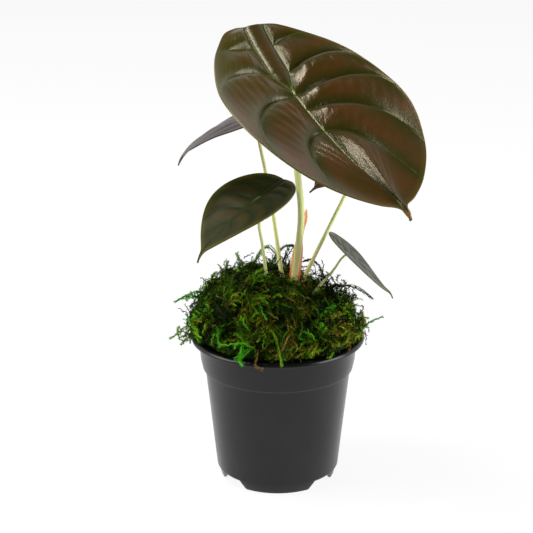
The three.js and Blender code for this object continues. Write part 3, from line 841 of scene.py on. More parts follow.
@dataclass
class BladeHalf:
    """One half of a flat blade: its margin, and its side veins between notch and tip.

    The inset keeps the lines between veins off the margin, past a share of the half's width.
    """

    margin: list[Pair]
    veins: list[SideVein]
    scale: float
    width: float
    samples: int = 1200
    inset: float = 4.0
    inset_from: float = 0.6
    notch_reach: float = 0.6
    tip_reach: float = 0.8

    def __post_init__(self) -> None:
        """Sample the margin and find where each vein meets it."""
        points = np.array(self.margin) * self.scale * np.array([self.width, 1.0])
        self.curve = through_points(points, self.samples, even=True)
        self.shares = np.linspace(0, 1, len(self.curve))
        self.onward = np.maximum.accumulate(self.curve[:, 1])
        ends = np.interp([vein.end * self.scale for vein in self.veins], self.onward, self.shares)
        self.keys = np.array([
            (points[0, 1], 0.0, 0.0, self.notch_reach),
            *((vein.start * self.scale, end, vein.dip * self.scale, vein.reach)
              for vein, end in zip(self.veins, ends)),
            (points[-1, 1], 1.0, 0.0, self.tip_reach),
        ])

    def row(self, out: float, along: float, steps: Points) -> tuple[Points, float]:
        """Sample the line that runs out from the midrib as the side veins do.

        Args:
            out: Distance of the line's start from the middle.
            along: Place of its start along the blade.
            steps: Shares of the line, from 0 to 1.

        Returns:
            Points as out and along, and the line's share of the way between its two veins.
        """
        below = int(np.searchsorted(self.keys[:, 0], along, side="right")) - 1
        i = min(max(below, 0), len(self.keys) - 2)
        low, high = self.keys[i], self.keys[i + 1]
        share = float(np.clip((along - low[0]) / (high[0] - low[0]), 0, 1))
        _, end_share, dip, reach = low + (high - low) * share
        end = np.array([np.interp(end_share, self.shares, self.curve[:, axis]) for axis in (0, 1)])
        start = np.array([out, along])
        bow = np.array([out + (end[0] - out) * reach, along - dip])
        s = steps[:, None]
        line = (1 - s) ** 2 * start + 2 * s * (1 - s) * bow + s * s * end
        margin = np.interp(line[:, 1], self.onward, self.curve[:, 0])
        wide = line[:, 0] > self.inset_from * self.curve[:, 0].max()
        line[:, 0] = np.where(wide, np.minimum(line[:, 0], margin - self.inset * (1 - steps)), line[:, 0])
        return line, share


NEAREST_BLOCK = 4000  # Points whose distances are worked out at once
VEIN_SAMPLES = 160
BASAL_SAMPLES = 300
MIDRIB_SAMPLES = 500
NO_RIB = 9.0  # Rib measure where a blade has no rib
QUILTING = 0.22  # Usual share of the relief that follows every valley
FLAT_SPAN = 200.0  # Millimetres of blade across its flat UV map
VEINWISE_SPAN = 60.0  # Millimetres of midrib across its UV map along the veins


def nearest(points: Points, lines: list[Points]) -> Points:
    """Return each point's distance to the nearest of some sampled lines."""
    best = np.full(len(points), FAR)
    for line in lines:
        for first in range(0, len(points), NEAREST_BLOCK):
            block = points[first:first + NEAREST_BLOCK]
            away = np.hypot(*(np.subtract.outer(block[:, axis], line[:, axis]) for axis in (0, 1))).min(axis=1)
            best[first:first + NEAREST_BLOCK] = np.minimum(best[first:first + NEAREST_BLOCK], away)
    return best


@dataclass(frozen=True)
class PuffedField:
    """Puffed field between two side veins.

    The start is its place along the midrib, the height a factor on the blade's relief, and the
    crest the power that moves its highest line from the middle towards the next vein.
    """

    start: float = -FAR
    height: float = 1.0
    crest: float = 1.3


@dataclass
class Blade:
    """A shield-shaped blade bent over its stalk.

    The junction is in millimetres; heading turns from +X towards +Y and descent tips the point
    down, in degrees. Curl bends each half, droop the front and rise the rear, per millimetre. The
    tail is where the drip tip starts and its own droop. Basal is how far the two rear veins part.

    The grid has rows from rear to tip, columns out from the midrib on each side, which crowd
    towards it, and a wedge between the rear veins.

    Relief is the height of the puffs between the veins, quilting the share of it that follows
    every valley, and groove the valleys' depth. Rises are the shares of the way out over which a
    rear puff swells, and how much further a front one does. Fields are puffs of their own height,
    and each pair is for the left half and the right. An olive blade turns olive on the right of
    its rear.
    """

    node: str
    junction: Place
    heading: float
    descent: float
    roll: float
    curl: Pair
    finish: LeafFinish
    droop: float = 0.0
    rise: float = 0.0
    twist: float = 0.0
    sway: float = 0.0
    scale: float = 1.0
    width: float = 1.0
    margins: tuple[list, list] = (YOUNG_HALF, YOUNG_HALF)
    veins: tuple[list, list] = (YOUNG_VEINS, YOUNG_VEINS)
    tail: Pair = (FAR, 0.0)
    basal: float = 1.6
    basal_share: float = 0.35
    relief: float = 1.2
    fullness: float = 0.8
    groove: float = 0.3
    crease: float = 0.9
    pinch: float = 0.72
    rear_rib: bool = False
    olive: bool = False
    quilting: Pair = (QUILTING, QUILTING)
    quilt_width: Pair = (1.4, 0.9)
    quilt_power: float = 1.25
    flat_span: Pair = (0.15, 0.85)
    flatness: float = 0.92
    margin_fade: float = 3.0
    puff_from: float = 0.04
    fade_from: float = 0.2
    fields: tuple[tuple[PuffedField, ...], tuple[PuffedField, ...]] = ((), ())
    rises: tuple[Pair, ...] = ((0.22, 0.1), (0.22, 0.1))
    front: Pair = (20.0, 45.0)
    ripple: float = 0.05
    vein_ridge: float = 0.12
    rib_ridge: float = 0.25
    thickness: float = 0.8
    rows: int = 90
    row_evenness: float = 0.7
    columns: int = 26
    crowding: float = 1.3
    wedge: int = 4
    notch_rise: float = 0.9
    notch_span: float = 2.5
    gap_puff: float = 0.28
    vein_half: float = 0.3
    vein_taper: float = 0.5
    rib_half: float = 0.7
    rib_taper: float = 0.62
    rib_clear: float = 1.2
    basal_girth: float = 0.8
    basal_taper: float = 0.6

    def lengthwise(self, along: Points) -> tuple[Points, Points, Points]:
        """Return the run, fall and lean of the midrib at places along the blade."""
        start, tail_bend = self.tail
        straight = np.minimum(along, start)
        c = np.where(along > 0, self.droop, -self.rise) + TINY
        run, fall, lean = np.sin(c * straight) / c, (np.cos(c * straight) - 1) / c, c * straight
        past = tail_bend * (along - straight)
        tail_run, tail_fall = np.sin(past) / (tail_bend + TINY), (np.cos(past) - 1) / (tail_bend + TINY)
        return (run + tail_run * np.cos(lean) + tail_fall * np.sin(lean),
                fall - tail_run * np.sin(lean) + tail_fall * np.cos(lean), lean + past)

    def bend(self, out: Points, along: Points, height: Points) -> Points:
        """Carry points of the flat blade to their places on the bent one.

        Args:
            out: Distances from the midrib, positive to the left of a viewer facing the tip.
            along: Distances from the junction towards the tip.
            height: Heights above the flat blade.

        Returns:
            Points in millimetres, one per row.
        """
        heading, descent, roll = (math.radians(v) for v in (self.heading, self.descent, self.roll))
        ahead = np.array([math.cos(heading), math.sin(heading), 0.0])
        up = np.array([0.0, 0.0, 1.0])
        tipward = math.cos(descent) * ahead - math.sin(descent) * up
        plain = math.sin(descent) * ahead + math.cos(descent) * up
        upward = math.cos(roll) * plain + math.sin(roll) * np.cross(tipward, plain)
        leftward = np.cross(upward, tipward)
        run, fall, lean = self.lengthwise(along)
        above = np.cos(lean)[:, None] * upward + np.sin(lean)[:, None] * tipward
        turn = self.twist * along
        aside = np.cos(turn)[:, None] * leftward + np.sin(turn)[:, None] * above
        face = np.cos(turn)[:, None] * above - np.sin(turn)[:, None] * leftward
        k = np.where(out > 0, self.curl[0], self.curl[1]) + TINY
        across, sink = np.sin(k * out) / k, (np.cos(k * out) - 1) / k
        return (np.array(self.junction) + run[:, None] * tipward + fall[:, None] * upward
                + (self.sway * along**2)[:, None] * leftward
                + (across + height * np.sin(k * out))[:, None] * aside
                + (sink + height * np.cos(k * out))[:, None] * face)

    def part_at(self, along: float, rear: float) -> float:
        """Return how far the basal vein has parted from the middle at a place behind the junction."""
        if along >= 0:
            return 0.0
        return self.basal * math.sin(math.pi / 2 * min(along / (rear * self.basal_share), 1.0))

    def puff(self, along: float, share: float, steps: Points, side: int) -> Points:
        """Return the blade's height between two side veins, along one line.

        Args:
            along: Place where the line leaves the midrib.
            share: Share of the way between the two veins.
            steps: Shares of the way from the midrib to the margin.
            side: 0 for the left half, 1 for the right.

        Returns:
            Heights in millimetres.
        """
        here = PuffedField()
        for candidate in self.fields[side]:
            if along >= candidate.start:
                here = candidate
        swell = here.height * abs(math.sin(math.pi * share**here.crest)) ** self.fullness
        later = float(smoothstep(np.array([along]), *self.front)[0])
        reach, further = self.rises[side]
        rise = smoothstep(steps, self.puff_from * later, reach + further * later)
        fade = 1 - smoothstep(steps, self.fade_from, 1.0)
        ripple = self.ripple * np.sin(46 * steps + 9 * share + 2 * side) * np.sin(17 * steps - 5 * share)
        return self.relief * swell * rise * fade * (1 + ripple)

    def sample(self) -> dict[str, Points]:
        """Lay out the flat blade as a grid and measure what its finish needs.

        Returns:
            Arrays over the grid: out, along, height, and the measures named in the finish.
        """
        halves = [BladeHalf(*half, self.scale, self.width) for half in zip(self.margins, self.veins)]
        rear, tip = (self.margins[0][i][1] * self.scale for i in (0, -1))
        starts = self.line_starts(halves[0], rear, tip)
        steps = np.linspace(0, 1, self.columns + 1) ** self.crowding
        mid = np.linspace(0, 1, self.wedge + 1)[1:-1]
        rows = []
        for along in starts:
            part = self.part_at(along, rear)
            notch = self.notch_rise * self.scale * math.exp((rear - along) / self.notch_span)
            notch = notch * (1 - abs(2 * mid - 1))
            gap_up = self.relief * self.gap_puff * (part / self.basal) * np.sin(math.pi * mid)
            gap = np.column_stack([part * (1 - 2 * mid), along + notch, gap_up, 0 * mid, 0 * mid + 0.5])
            sides = []
            for side, half in enumerate(halves):
                points, share = half.row(part, along, steps)
                puff = self.puff(along, share, steps, side)
                sides.append(np.column_stack([points * [1 - 2 * side, 1], puff, steps, 0 * steps + side]))
            rows.append(np.concatenate([sides[0][::-1], gap, sides[1]]))
        grid = dict(zip(("out", "along", "height", "reach", "side"), np.concatenate(rows).T))
        grid["start"] = np.repeat(starts, len(rows[0]))
        self.measure(grid, halves, rear, tip)
        return grid

    def line_starts(self, half: BladeHalf, rear: float, tip: float) -> Points:
        """Space the grid's rows along the blade, closest at the veins.

        Args:
            half: Half whose veins the rows follow.
            rear: Place of the blade's rear end.
            tip: Place of its tip.

        Returns:
            Places along the blade, from rear to tip.
        """
        marks = np.array([rear, *sorted([*half.keys[1:-1, 0], 0.0]), tip])
        room = np.diff(marks) ** self.row_evenness
        counts = np.maximum(2, np.round(room / np.sum(room) * self.rows)).astype(int)
        starts = [a + (b - a) * (0.5 - 0.5 * np.cos(math.pi * np.arange(n) / n))
                  for a, b, n in zip(marks, marks[1:], counts)]
        return np.append(np.concatenate(starts), tip)

    def measure(self, grid: dict[str, Points], halves: list[BladeHalf], rear: float, tip: float) -> None:
        """Add to the grid how far each point lies from the veins, the ribs and the margin.

        Args:
            grid: Arrays over the flat blade, which take the measures and the final height.
            halves: Left and right half.
            rear: Place of the blade's rear end.
            tip: Place of its tip.
        """
        flat = np.stack([grid["out"], grid["along"]], axis=1)
        fine = np.linspace(0, 1, VEIN_SAMPLES)
        vein = np.full(len(flat), FAR)
        for sign, half in zip((1, -1), halves):
            lines = [half.row(self.part_at(start, rear), start, fine)[0] * [sign, 1]
                     for start in half.keys[1:-1, 0]]
            mine = flat[:, 0] * sign > 0
            vein[mine] = nearest(flat[mine], lines)
        back = np.linspace(0, rear, BASAL_SAMPLES)
        basal = [np.stack([[sign * self.part_at(a, rear) for a in back], back], axis=1) for sign in (1, -1)]
        to_basal = nearest(flat, basal)
        midrib = np.linspace([0, 0], [0, tip], MIDRIB_SAMPLES)
        to_midrib = nearest(flat, [midrib])
        rim = nearest(flat, [half.curve * [sign, 1] for sign, half in zip((1, -1), halves)])
        forward, backward = (np.clip(flat[:, 1] / end, 0, 1) for end in (tip, rear))
        front = to_midrib / (self.rib_half * (1 - self.rib_taper * forward))
        behind = to_basal / (self.rib_half * self.basal_girth * (1 - self.basal_taper * backward))
        grid["rib"] = np.minimum(front, behind if self.rear_rib else NO_RIB)
        grid["valley"] = np.minimum(vein, np.minimum(to_midrib, to_basal) * self.rib_clear)
        grid["vein"] = vein / (self.vein_half * (1 - self.vein_taper * grid["reach"]))
        grid["rim"] = rim
        grid["centre"] = np.hypot(flat[:, 0], flat[:, 1])
        grid["tip"] = np.hypot(flat[:, 0], flat[:, 1] - tip)
        grid["olive"] = smoothstep(-flat[:, 1], -55, 30) * smoothstep(-flat[:, 0], -8, 30) * self.olive
        quilted = self.quilting[0] + (self.quilting[1] - self.quilting[0]) * grid["side"]
        least, by_relief = self.quilt_width
        wide = grid["valley"] / (least + by_relief * self.relief)
        quilt = quilted * (1 - np.exp(-wide ** self.quilt_power))
        flat_from, flat_to = self.flat_span
        flatter = smoothstep(grid["reach"], flat_from + 0.5 * (quilted - QUILTING), flat_to)
        level = (1 - self.flatness * flatter) * np.clip(rim / self.margin_fade, 0, 1)
        ridge = (self.rib_ridge * self.rib_half * np.exp(-grid["rib"] ** 2)
                 + self.vein_ridge * np.exp(-grid["vein"] ** 2))
        grid["height"] = (self.pinch * grid["height"] + self.relief * quilt * level
                          - self.groove * np.exp(-grid["valley"] / self.crease) * level + ridge * (rim > 0.5))

    def build(self) -> None:
        """Model and dress the blade."""
        grid = self.sample()
        columns = 2 * (self.columns + 1) + self.wedge - 1
        rows = len(grid["out"]) // columns
        bpy.ops.mesh.primitive_grid_add(x_subdivisions=columns - 1, y_subdivisions=rows - 1, size=1)
        blade = added(self.node.replace("blade", "leaf") + "_blade")
        column, row = (np.round((vertex_array(blade)[:, axis] + 0.5) * (count - 1)).astype(int)
                       for axis, count in enumerate((columns, rows)))
        grid = {key: values[row * columns + column] for key, values in grid.items()}
        place_vertices(blade, self.bend(grid["out"], grid["along"], grid["height"] + self.thickness / 2) * MM)
        for name in ("rib", "valley", "vein", "rim", "centre", "reach", "olive", "tip"):
            store(blade, name, grid[name])
        flat = np.stack([grid["out"], grid["along"]], axis=1)
        store_uv(blade, "flat", flat / FLAT_SPAN + 0.5)
        veinwise = np.stack([grid["start"] / VEINWISE_SPAN + grid["side"], grid["reach"]], axis=1)
        store_uv(blade, "veinwise", veinwise)
        merge_close(blade)
        dress(blade, self.finish.upper(), self.finish.lower())
        apply_modifier(blade, "SOLIDIFY", thickness=self.thickness * MM, offset=-1.0,
                       use_even_offset=False, material_offset=1, material_offset_rim=0)
        present(blade, self.node, 50)


# Stalks and sheath

def carried_frames(line: Points) -> tuple[Points, Points]:
    """Return two directions square to a line at each of its points, turning as little as they can."""
    tangent = unit(np.gradient(line, axis=0))
    normal = np.empty_like(line)
    start = np.array([0.0, -1.0, 0.0])
    for i, t in enumerate(tangent):
        start = start - t * (start @ t)
        start /= np.linalg.norm(start)
        normal[i] = start
    return normal, np.cross(tangent, normal)


@dataclass
class Stalk:
    """A slim round stalk from the rootstock to the underside of its blade. Millimetres.

    The radii are those of its foot and its top, and unround is the share by which they vary.
    """

    node: str
    blade: Blade
    points: list[Place]
    radii: Pair
    finish: StalkFinish
    sides: int = 20
    rings: int = 60
    sunk: float = 0.3
    straight_end: float = 5.0
    unround: float = 0.03

    def build(self) -> None:
        """Model the stalk from a cylinder cut into rings, and dress it."""
        under = self.blade.thickness / 2 + self.sunk
        zero = np.zeros(1)
        top = [self.blade.bend(zero, zero, zero - depth)[0] for depth in (under + self.straight_end, under)]
        line = through_points(np.array([*self.points, *top]), self.rings)
        bpy.ops.mesh.primitive_cylinder_add(vertices=self.sides, radius=1, depth=1, end_fill_type="TRIFAN")
        stalk = added(self.node.replace("stalk", "leaf") + "_stalk")
        cut_rings(stalk, self.rings - 2)
        co = vertex_array(stalk)
        share = co[:, 2] + 0.5
        index = np.clip(np.round(share * (self.rings - 1)).astype(int), 0, self.rings - 1)
        normal, across = carried_frames(line)
        radius = self.radii[0] + (self.radii[1] - self.radii[0]) * share
        angle = np.arctan2(co[:, 1], co[:, 0])
        radius *= 1 + self.unround * np.sin(3 * angle + 4 * share)
        outward = co[:, :1] * normal[index] + co[:, 1:2] * across[index]
        place_vertices(stalk, (line[index] + outward * radius[:, None]) * MM)
        store(stalk, "height", share)
        turn = angle / (2 * math.pi) + 0.5
        store_uv(stalk, "round", np.stack([np.abs(turn * 2 - 1), share], axis=1))
        dress(stalk, self.finish.material())
        present(stalk, self.node, 60)


@dataclass
class Sheath:
    """Channel-shaped papery strap behind the largest stalk, narrowing to a point.

    Each station holds x, y, z and half width in millimetres, and its wrap in degrees.
    """

    stations: list[tuple[float, float, float, float, float]] = field(default_factory=lambda: [
        (9, 4.9, 112, 2.9, 75), (9.6, 5, 122, 3, 80), (10.7, 5.3, 131, 3.05, 72), (11.5, 5.7, 138, 3, 55),
        (12.2, 6.2, 143, 2.6, 38), (12.9, 6.8, 147.5, 1.9, 22), (13.9, 7, 152.5, 1.6, 15),
        (14.9, 7.1, 156.5, 1.6, 14), (15.9, 6.9, 160.5, 1.6, 12), (16.7, 6.6, 164.5, 0.9, 8),
        (17, 6.4, 167, 0.35, 5),
    ])
    thickness: float = 0.7
    rows: int = 60
    columns: int = 16
    least_wrap: float = 3.0
    crinkle: float = 0.25

    def build(self) -> None:
        """Model the sheath from a grid wrapped round the stalk, and dress it."""
        stations = through_points(np.array(self.stations), self.rows + 1, even=True)
        bpy.ops.mesh.primitive_grid_add(x_subdivisions=self.columns, y_subdivisions=self.rows, size=1)
        sheath = added("sheath_strap")
        co = vertex_array(sheath)
        row = np.round((co[:, 1] + 0.5) * self.rows).astype(int)
        x, y, z, half, wrap = stations[row].T
        bend = np.radians(np.maximum(wrap, self.least_wrap))
        radius = half / np.sin(bend)
        angle = co[:, 0] * 2 * bend
        crinkle = self.crinkle * np.sin(9 * co[:, 1] + 3 * co[:, 0]) * (0.2 + np.abs(co[:, 0]))
        outer = radius + self.thickness / 2
        placed = [x + outer * np.sin(angle), y - radius + outer * np.cos(angle) + crinkle * 0.4, z]
        place_vertices(sheath, np.stack(placed, axis=1) * MM)
        store(sheath, "height", co[:, 1] + 0.5)
        store_uv(sheath, "round", co[:, :2] + 0.5)
        open_mesh(sheath, "SELECT")
        bpy.ops.mesh.flip_normals()
        close_mesh()
        apply_modifier(sheath, "SOLIDIFY", thickness=self.thickness * MM, offset=-1.0)
        dress(sheath, SheathFinish().material())
        present(sheath, "sheath", 50)


# Moss

@dataclass
class Strands:
    """One family of moss strands.

    Length and girth are ranges in millimetres; lift raises the strands off the mound, stray is the
    share that stands out, and spread is how loosely a tuft is packed. The evenness is the share
    of strands away from the family's homes, and wayward strands are drawn one by one.
    """

    tone: MossTone
    seed: int
    count: int
    length: Pair
    girth: Pair
    frills: int
    lift: float
    spread: float
    stray: float = 0.0
    evenness: float = 1.0
    homes: tuple[Place, ...] = ()
    wayward: list[list[Place]] = field(default_factory=list)


# Strands that stand out from the mound, as points from root to tip in millimetres

WAYWARD_EMERALD = [
    [(-45.7, -4, 113.4), (-51, -6, 117.3), (-56.3, -8, 116.7), (-62.2, -9, 114.5)],
    [(-44, 0, 116.4), (-49.4, 0, 117.7), (-53.6, 0, 115.8), (-55.4, -2, 112.7)],
    [(-18.8, -44, 103), (-20.5, -50, 100.4), (-22.2, -53, 96), (-20.5, -54.5, 90.4)],
    [(-13, -45, 99.7), (-17.6, -51, 99.5), (-21.6, -53.5, 96.8), (-25.1, -54, 93.9)],
    [(-30.5, -36, 109.9), (-34.5, -40, 107.7), (-35.1, -42, 103.5), (-32.8, -44, 99.3)],
    [(34, -24, 117.4), (27.4, -30, 114.6), (23.2, -34, 111.7), (20.2, -38, 107)],
    [(-19.7, -14, 122), (-14.9, -16, 122.7), (-12.5, -20, 119.1), (-12.5, -22, 116)],
    [(48.5, -4, 93.5), (53.1, -6, 98.1), (57.7, -8, 102), (63.6, -9, 104.3)],
]
WAYWARD_GREEN = [
    [(-47, -6, 94.9), (-53, -8, 97.5), (-58.4, -9, 95.4), (-65.6, -10, 89.9)],
    [(-48.3, -6, 89.7), (-54.2, -8, 93), (-59, -9, 90.8), (-60.1, -9, 98.6)],
    [(-49.5, -6, 91.6), (-54.3, -8, 90.5), (-57.3, -9, 88.3), (-58.5, -9, 86.3)],
    [(-16.9, 14, 128.9), (-12.7, 14, 135.3), (-7.2, 14, 141.1), (1.9, 12, 132.1)],
    [(-3.5, 16, 130.8), (1.3, 16, 138.5), (6.8, 16, 141.7), (11, 14, 137.9)],
    [(-21.1, 8, 130.9), (-22.9, 8, 134.7), (-24.1, 8, 137.9), (-24.6, 8, 139.5)],
    [(-37.4, 2, 120.8), (-39.1, 2, 124.7), (-38, 2, 127), (-36.1, 2, 129.1)],
    [(-3.7, -44, 104.3), (-4.9, -47, 110.4), (-0.8, -50, 105.3), (2.6, -54.6, 90.4)],
    [(30.4, -34, 96), (32, -38, 93.2), (30.8, -41.5, 92), (29, -44, 92)],
]
WAYWARD_DARK = [
    [(32.9, 6, 112.4), (37.7, 6, 118.9), (46.8, 4, 118.6), (57.4, 0, 112.6)],
    [(15.3, 14, 131.5), (20.8, 14, 132.8), (26, 12, 128.3), (29.2, 8, 119.4)],
    [(24.4, 10, 124.5), (29.2, 8, 122), (32.2, 6, 118.2), (34, 4, 113.1)],
    [(-29.6, 6, 126.5), (-30.7, 6, 130.3), (-30.1, 6, 133), (-30.1, 6, 135.4)],
    [(3, 14, 131), (6, 14, 139), (9, 14, 142), (13, 13, 136)],
]
WAYWARD_BROWN = [
    [(48.4, -6, 91), (50.8, -4, 96), (51.5, -2, 101.7), (49.7, 0, 105.5)],
    [(-11.8, -46, 97.6), (-13, -53.6, 94.4), (-13.5, -54.5, 89.8), (-8.9, -55, 87.5)],
    [(39.6, -24, 98.5), (41.8, -29, 95.4), (42.4, -31, 93), (41.7, -33, 92)],
]

# Places where one family of strands gathers, in millimetres

FRESH_HOMES = ((-28, -14, 125), (-12, -50, 104), (1, 0, 127), (-22, -40, 115), (45, -16, 106),
               (-43, -29, 103), (-8, -39, 119))
OLIVE_HOMES = ((-19, -38, 118), (-24, -44, 110), (-6, -51, 105), (17, -29, 117), (36, -30, 107),
               (40, -33, 95), (-11, -44, 114), (21, -43, 108))
EMERALD_HOMES = ((-35, -38, 102), (24, -34, 112), (-19, -48, 95), (-14, -28, 124), (16, -48, 105),
                 (32, -12, 114), (-45, -25, 105), (-40, 20, 112), (20, 36, 110))
BROWN_HOMES = ((-3, -52, 99), (4, -49, 109), (1, -24, 124), (8, -29, 120), (-28, -37, 114),
               (33, -31, 108), (-35, 0, 124), (16, -2, 121), (6, -51, 94), (10, 40, 112))


# Share of the length, climb and fall of each of a strand's three steps over the mound

STRAND_STEPS = ((0.34, 1.0, 0.0), (0.36, 0.1, 0.25), (0.3, -0.9, 0.5))


def through_four(points: Points) -> Points:
    """Return the control points of Bezier curves that pass through rows of four points."""
    first, second, third, last = (points[:, i] for i in range(4))
    return np.stack([first, (-5 * first + 18 * second - 9 * third + 2 * last) / 6,
                     (2 * first - 9 * second + 18 * third - 5 * last) / 6, last], axis=1)


@dataclass
class MossMound:
    """Mound of moss over the mix: a dark core, darkened further with painted shade, under thousands of curled
    strands. Millimetres.

    A hollow in the mound's edge has its place round the pot and its spread, in degrees, and its
    depth. The slope lowers all that is higher than its level, by a share that grows along X.
    """

    profile: list[Pair] = field(default_factory=lambda: [
        (45.4, 82.5), (46.2, 88), (46.4, 91.6), (50.2, 92.4), (52, 97), (52, 104), (49.5, 111), (44, 117.5),
        (36.5, 123), (25, 128), (12, 130.5), (0, 131.5),
    ])
    hollows: tuple[tuple[float, float, float], ...] = ((-126, 13, 7), (-12, 11, 6))
    slope_level: float = 94.0
    slope_span: Pair = (-30.0, 50.0)
    slope_drop: float = 0.38
    trim: float = 0.035
    lump: float = 0.04
    lip_top: float = 91.0
    wall_inside: float = 45.0
    wall_outside: float = 53.6
    mix_level: float = 81.5
    overhang_level: float = 86.0
    core_shrink: float = 3.2
    core_floor: float = 82.4
    core_radius: float = 44.0
    centre_height: float = 92.0
    tuft_count: int = 95
    tuft_reach: float = 8.0
    tuft_jitter: float = 0.12
    tuft_droop: float = 0.7
    tuft_rise: Pair = (-1.5, 1.8)
    tuft_tone: float = 0.28
    tone_middle: float = 0.45
    tone_swing: float = 0.3
    tip_tone: float = 0.25
    # Painted shade on the roots of the strands
    root_shade: float = 0.35
    front_lip: Pair = (46.5, 1.2)
    wander: float = 0.5
    wayward_apart: float = 0.6
    # Painted shade on the drawn strands
    wayward_shade: float = 0.1
    stem_radii: Pair = (0.36, 0.16)
    stem_cuts: int = 6
    leaflet_half: float = 0.6
    leaflet_reach: Pair = (2.0, 0.9)
    curl_turns: Pair = (4.0, 13.0)
    curl_reach: Pair = (0.1, 0.9)
    families: list[Strands] = field(default_factory=lambda: [
        Strands(MossTone.DEEP, seed=11, count=1300, length=(8, 15), girth=(0.75, 1.15), frills=20,
                lift=0.15, spread=8.0, wayward=WAYWARD_DARK),
        Strands(MossTone.GREEN, seed=12, count=1200, length=(8, 16), girth=(0.7, 1.15), frills=22,
                lift=0.35, spread=3.8, stray=0.02, evenness=0.6, homes=FRESH_HOMES, wayward=WAYWARD_GREEN),
        Strands(MossTone.OLIVE, seed=13, count=850, length=(7, 15), girth=(0.65, 1.1), frills=23,
                lift=0.35, spread=3.4, stray=0.02, evenness=0.2, homes=OLIVE_HOMES),
        Strands(MossTone.EMERALD, seed=14, count=260, length=(9, 18), girth=(0.7, 1.1), frills=26,
                lift=0.5, spread=2.6, stray=0.02, evenness=0.03, homes=EMERALD_HOMES,
                wayward=WAYWARD_EMERALD),
        Strands(MossTone.BROWN, seed=15, count=650, length=(8, 18), girth=(0.45, 0.75), frills=18,
                lift=0.4, spread=4.0, stray=0.04, evenness=0.2, homes=BROWN_HOMES, wayward=WAYWARD_BROWN),
    ])

    def outline(self) -> Points:
        """Return the mound's profile as radius and height, closely sampled."""
        return through_points(np.array(self.profile), 400, even=True)

    def lumps(self, angle: Points, height: Points) -> Points:
        """Return the mound's uneven swelling at an angle and height."""
        return (np.sin(3 * angle + 0.09 * height) + 0.8 * np.sin(5 * angle - 0.21 * height + 1.1)
                + 0.9 * np.sin(9 * angle + 0.33 * height + 2.3) * np.cos(0.4 * height + 2 * angle))

    def surface(self, angle: Points, share: Points, sink: float = 0.0) -> Points:
        """Return points on the mound.

        Args:
            angle: Angles round the pot's axis, in radians.
            share: Shares of the way up the mound's profile.
            sink: How far under the surface the points lie.

        Returns:
            Points, one per row.
        """
        line = self.outline()
        at = share * (len(line) - 1)
        radius, height = (np.interp(at, np.arange(len(line)), line[:, axis]) for axis in (0, 1))
        swell = np.where(height > self.lip_top + 1, self.lumps(angle, height) * self.lump, -0.02)
        near_lip = np.clip(1 - np.abs(height - self.lip_top - 2) / 8, 0, 1)
        draw = np.zeros_like(radius)
        for centre, spread, depth in self.hollows:
            away = ((np.degrees(angle) - centre + 180) % 360 - 180) / spread
            draw += depth * np.exp(-away * away) * near_lip
        settle = self.lumps(angle + 0.7, height * 1.7) * np.minimum(radius / 20, 1)
        settle = np.where(height > self.lip_top + 3, settle, 0)
        sunk = sink * np.minimum(radius / 30, 1)
        radius = np.maximum(radius * (1 + swell) - draw * (radius > 20) - sunk, 0)
        x, y, z = radius * np.cos(angle), radius * np.sin(angle), height + settle - sink * 0.9
        z -= np.maximum(z - self.slope_level, 0) * self.slope_drop * smoothstep(x, *self.slope_span)
        trim = 1 - self.trim * smoothstep(x, 10, 50) * smoothstep(z, 95, 105)
        return np.stack([x * trim, y, z], axis=1)

    def build_core(self) -> None:
        """Model the mound's core from a globe, and dress it dark with painted shade."""
        bpy.ops.mesh.primitive_uv_sphere_add(segments=128, ring_count=64, radius=1)
        core = added("moss_core")
        co = vertex_array(core)
        angle = np.arctan2(co[:, 1], co[:, 0])
        share = np.arcsin(np.clip(co[:, 2], -1, 1)) / math.pi + 0.5
        upper = self.surface(angle, np.clip((share - 0.25) / 0.75, 0, 1), self.core_shrink)
        low = share < 0.25
        draw_in = (share / 0.25)[:, None]
        under = upper * np.concatenate([draw_in, draw_in, np.ones_like(draw_in)], axis=1)
        under[:, 2] = self.core_floor + 0.4 * np.sin(co[:, 0] * 9) * np.cos(co[:, 1] * 7)
        placed = np.where(low[:, None], under, upper)
        radius = np.hypot(placed[:, 0], placed[:, 1])
        in_pot = (placed[:, 2] < self.lip_top + 0.8) & (radius > self.core_radius)
        placed[:, :2] *= np.where(in_pot, self.core_radius / np.maximum(radius, 1), 1.0)[:, None]
        x, y, z = placed.T
        rough = 0.9 * np.sin(x * 1.3 + z) * np.sin(y * 1.1 - z * 0.7)
        placed[:, 2] += np.where(z > 95, rough, 0)
        place_vertices(core, placed * MM)
        store(core, "tone", np.full(len(co), 0.25))
        # Painted shade: the whole core is stored as lying deep, so its finish darkens it
        store(core, "depth", np.full(len(co), 0.65))
        merge_close(core)
        dress(core, MossFinish(MossTone.DEEP).material())
        present(core, "moss", 60)

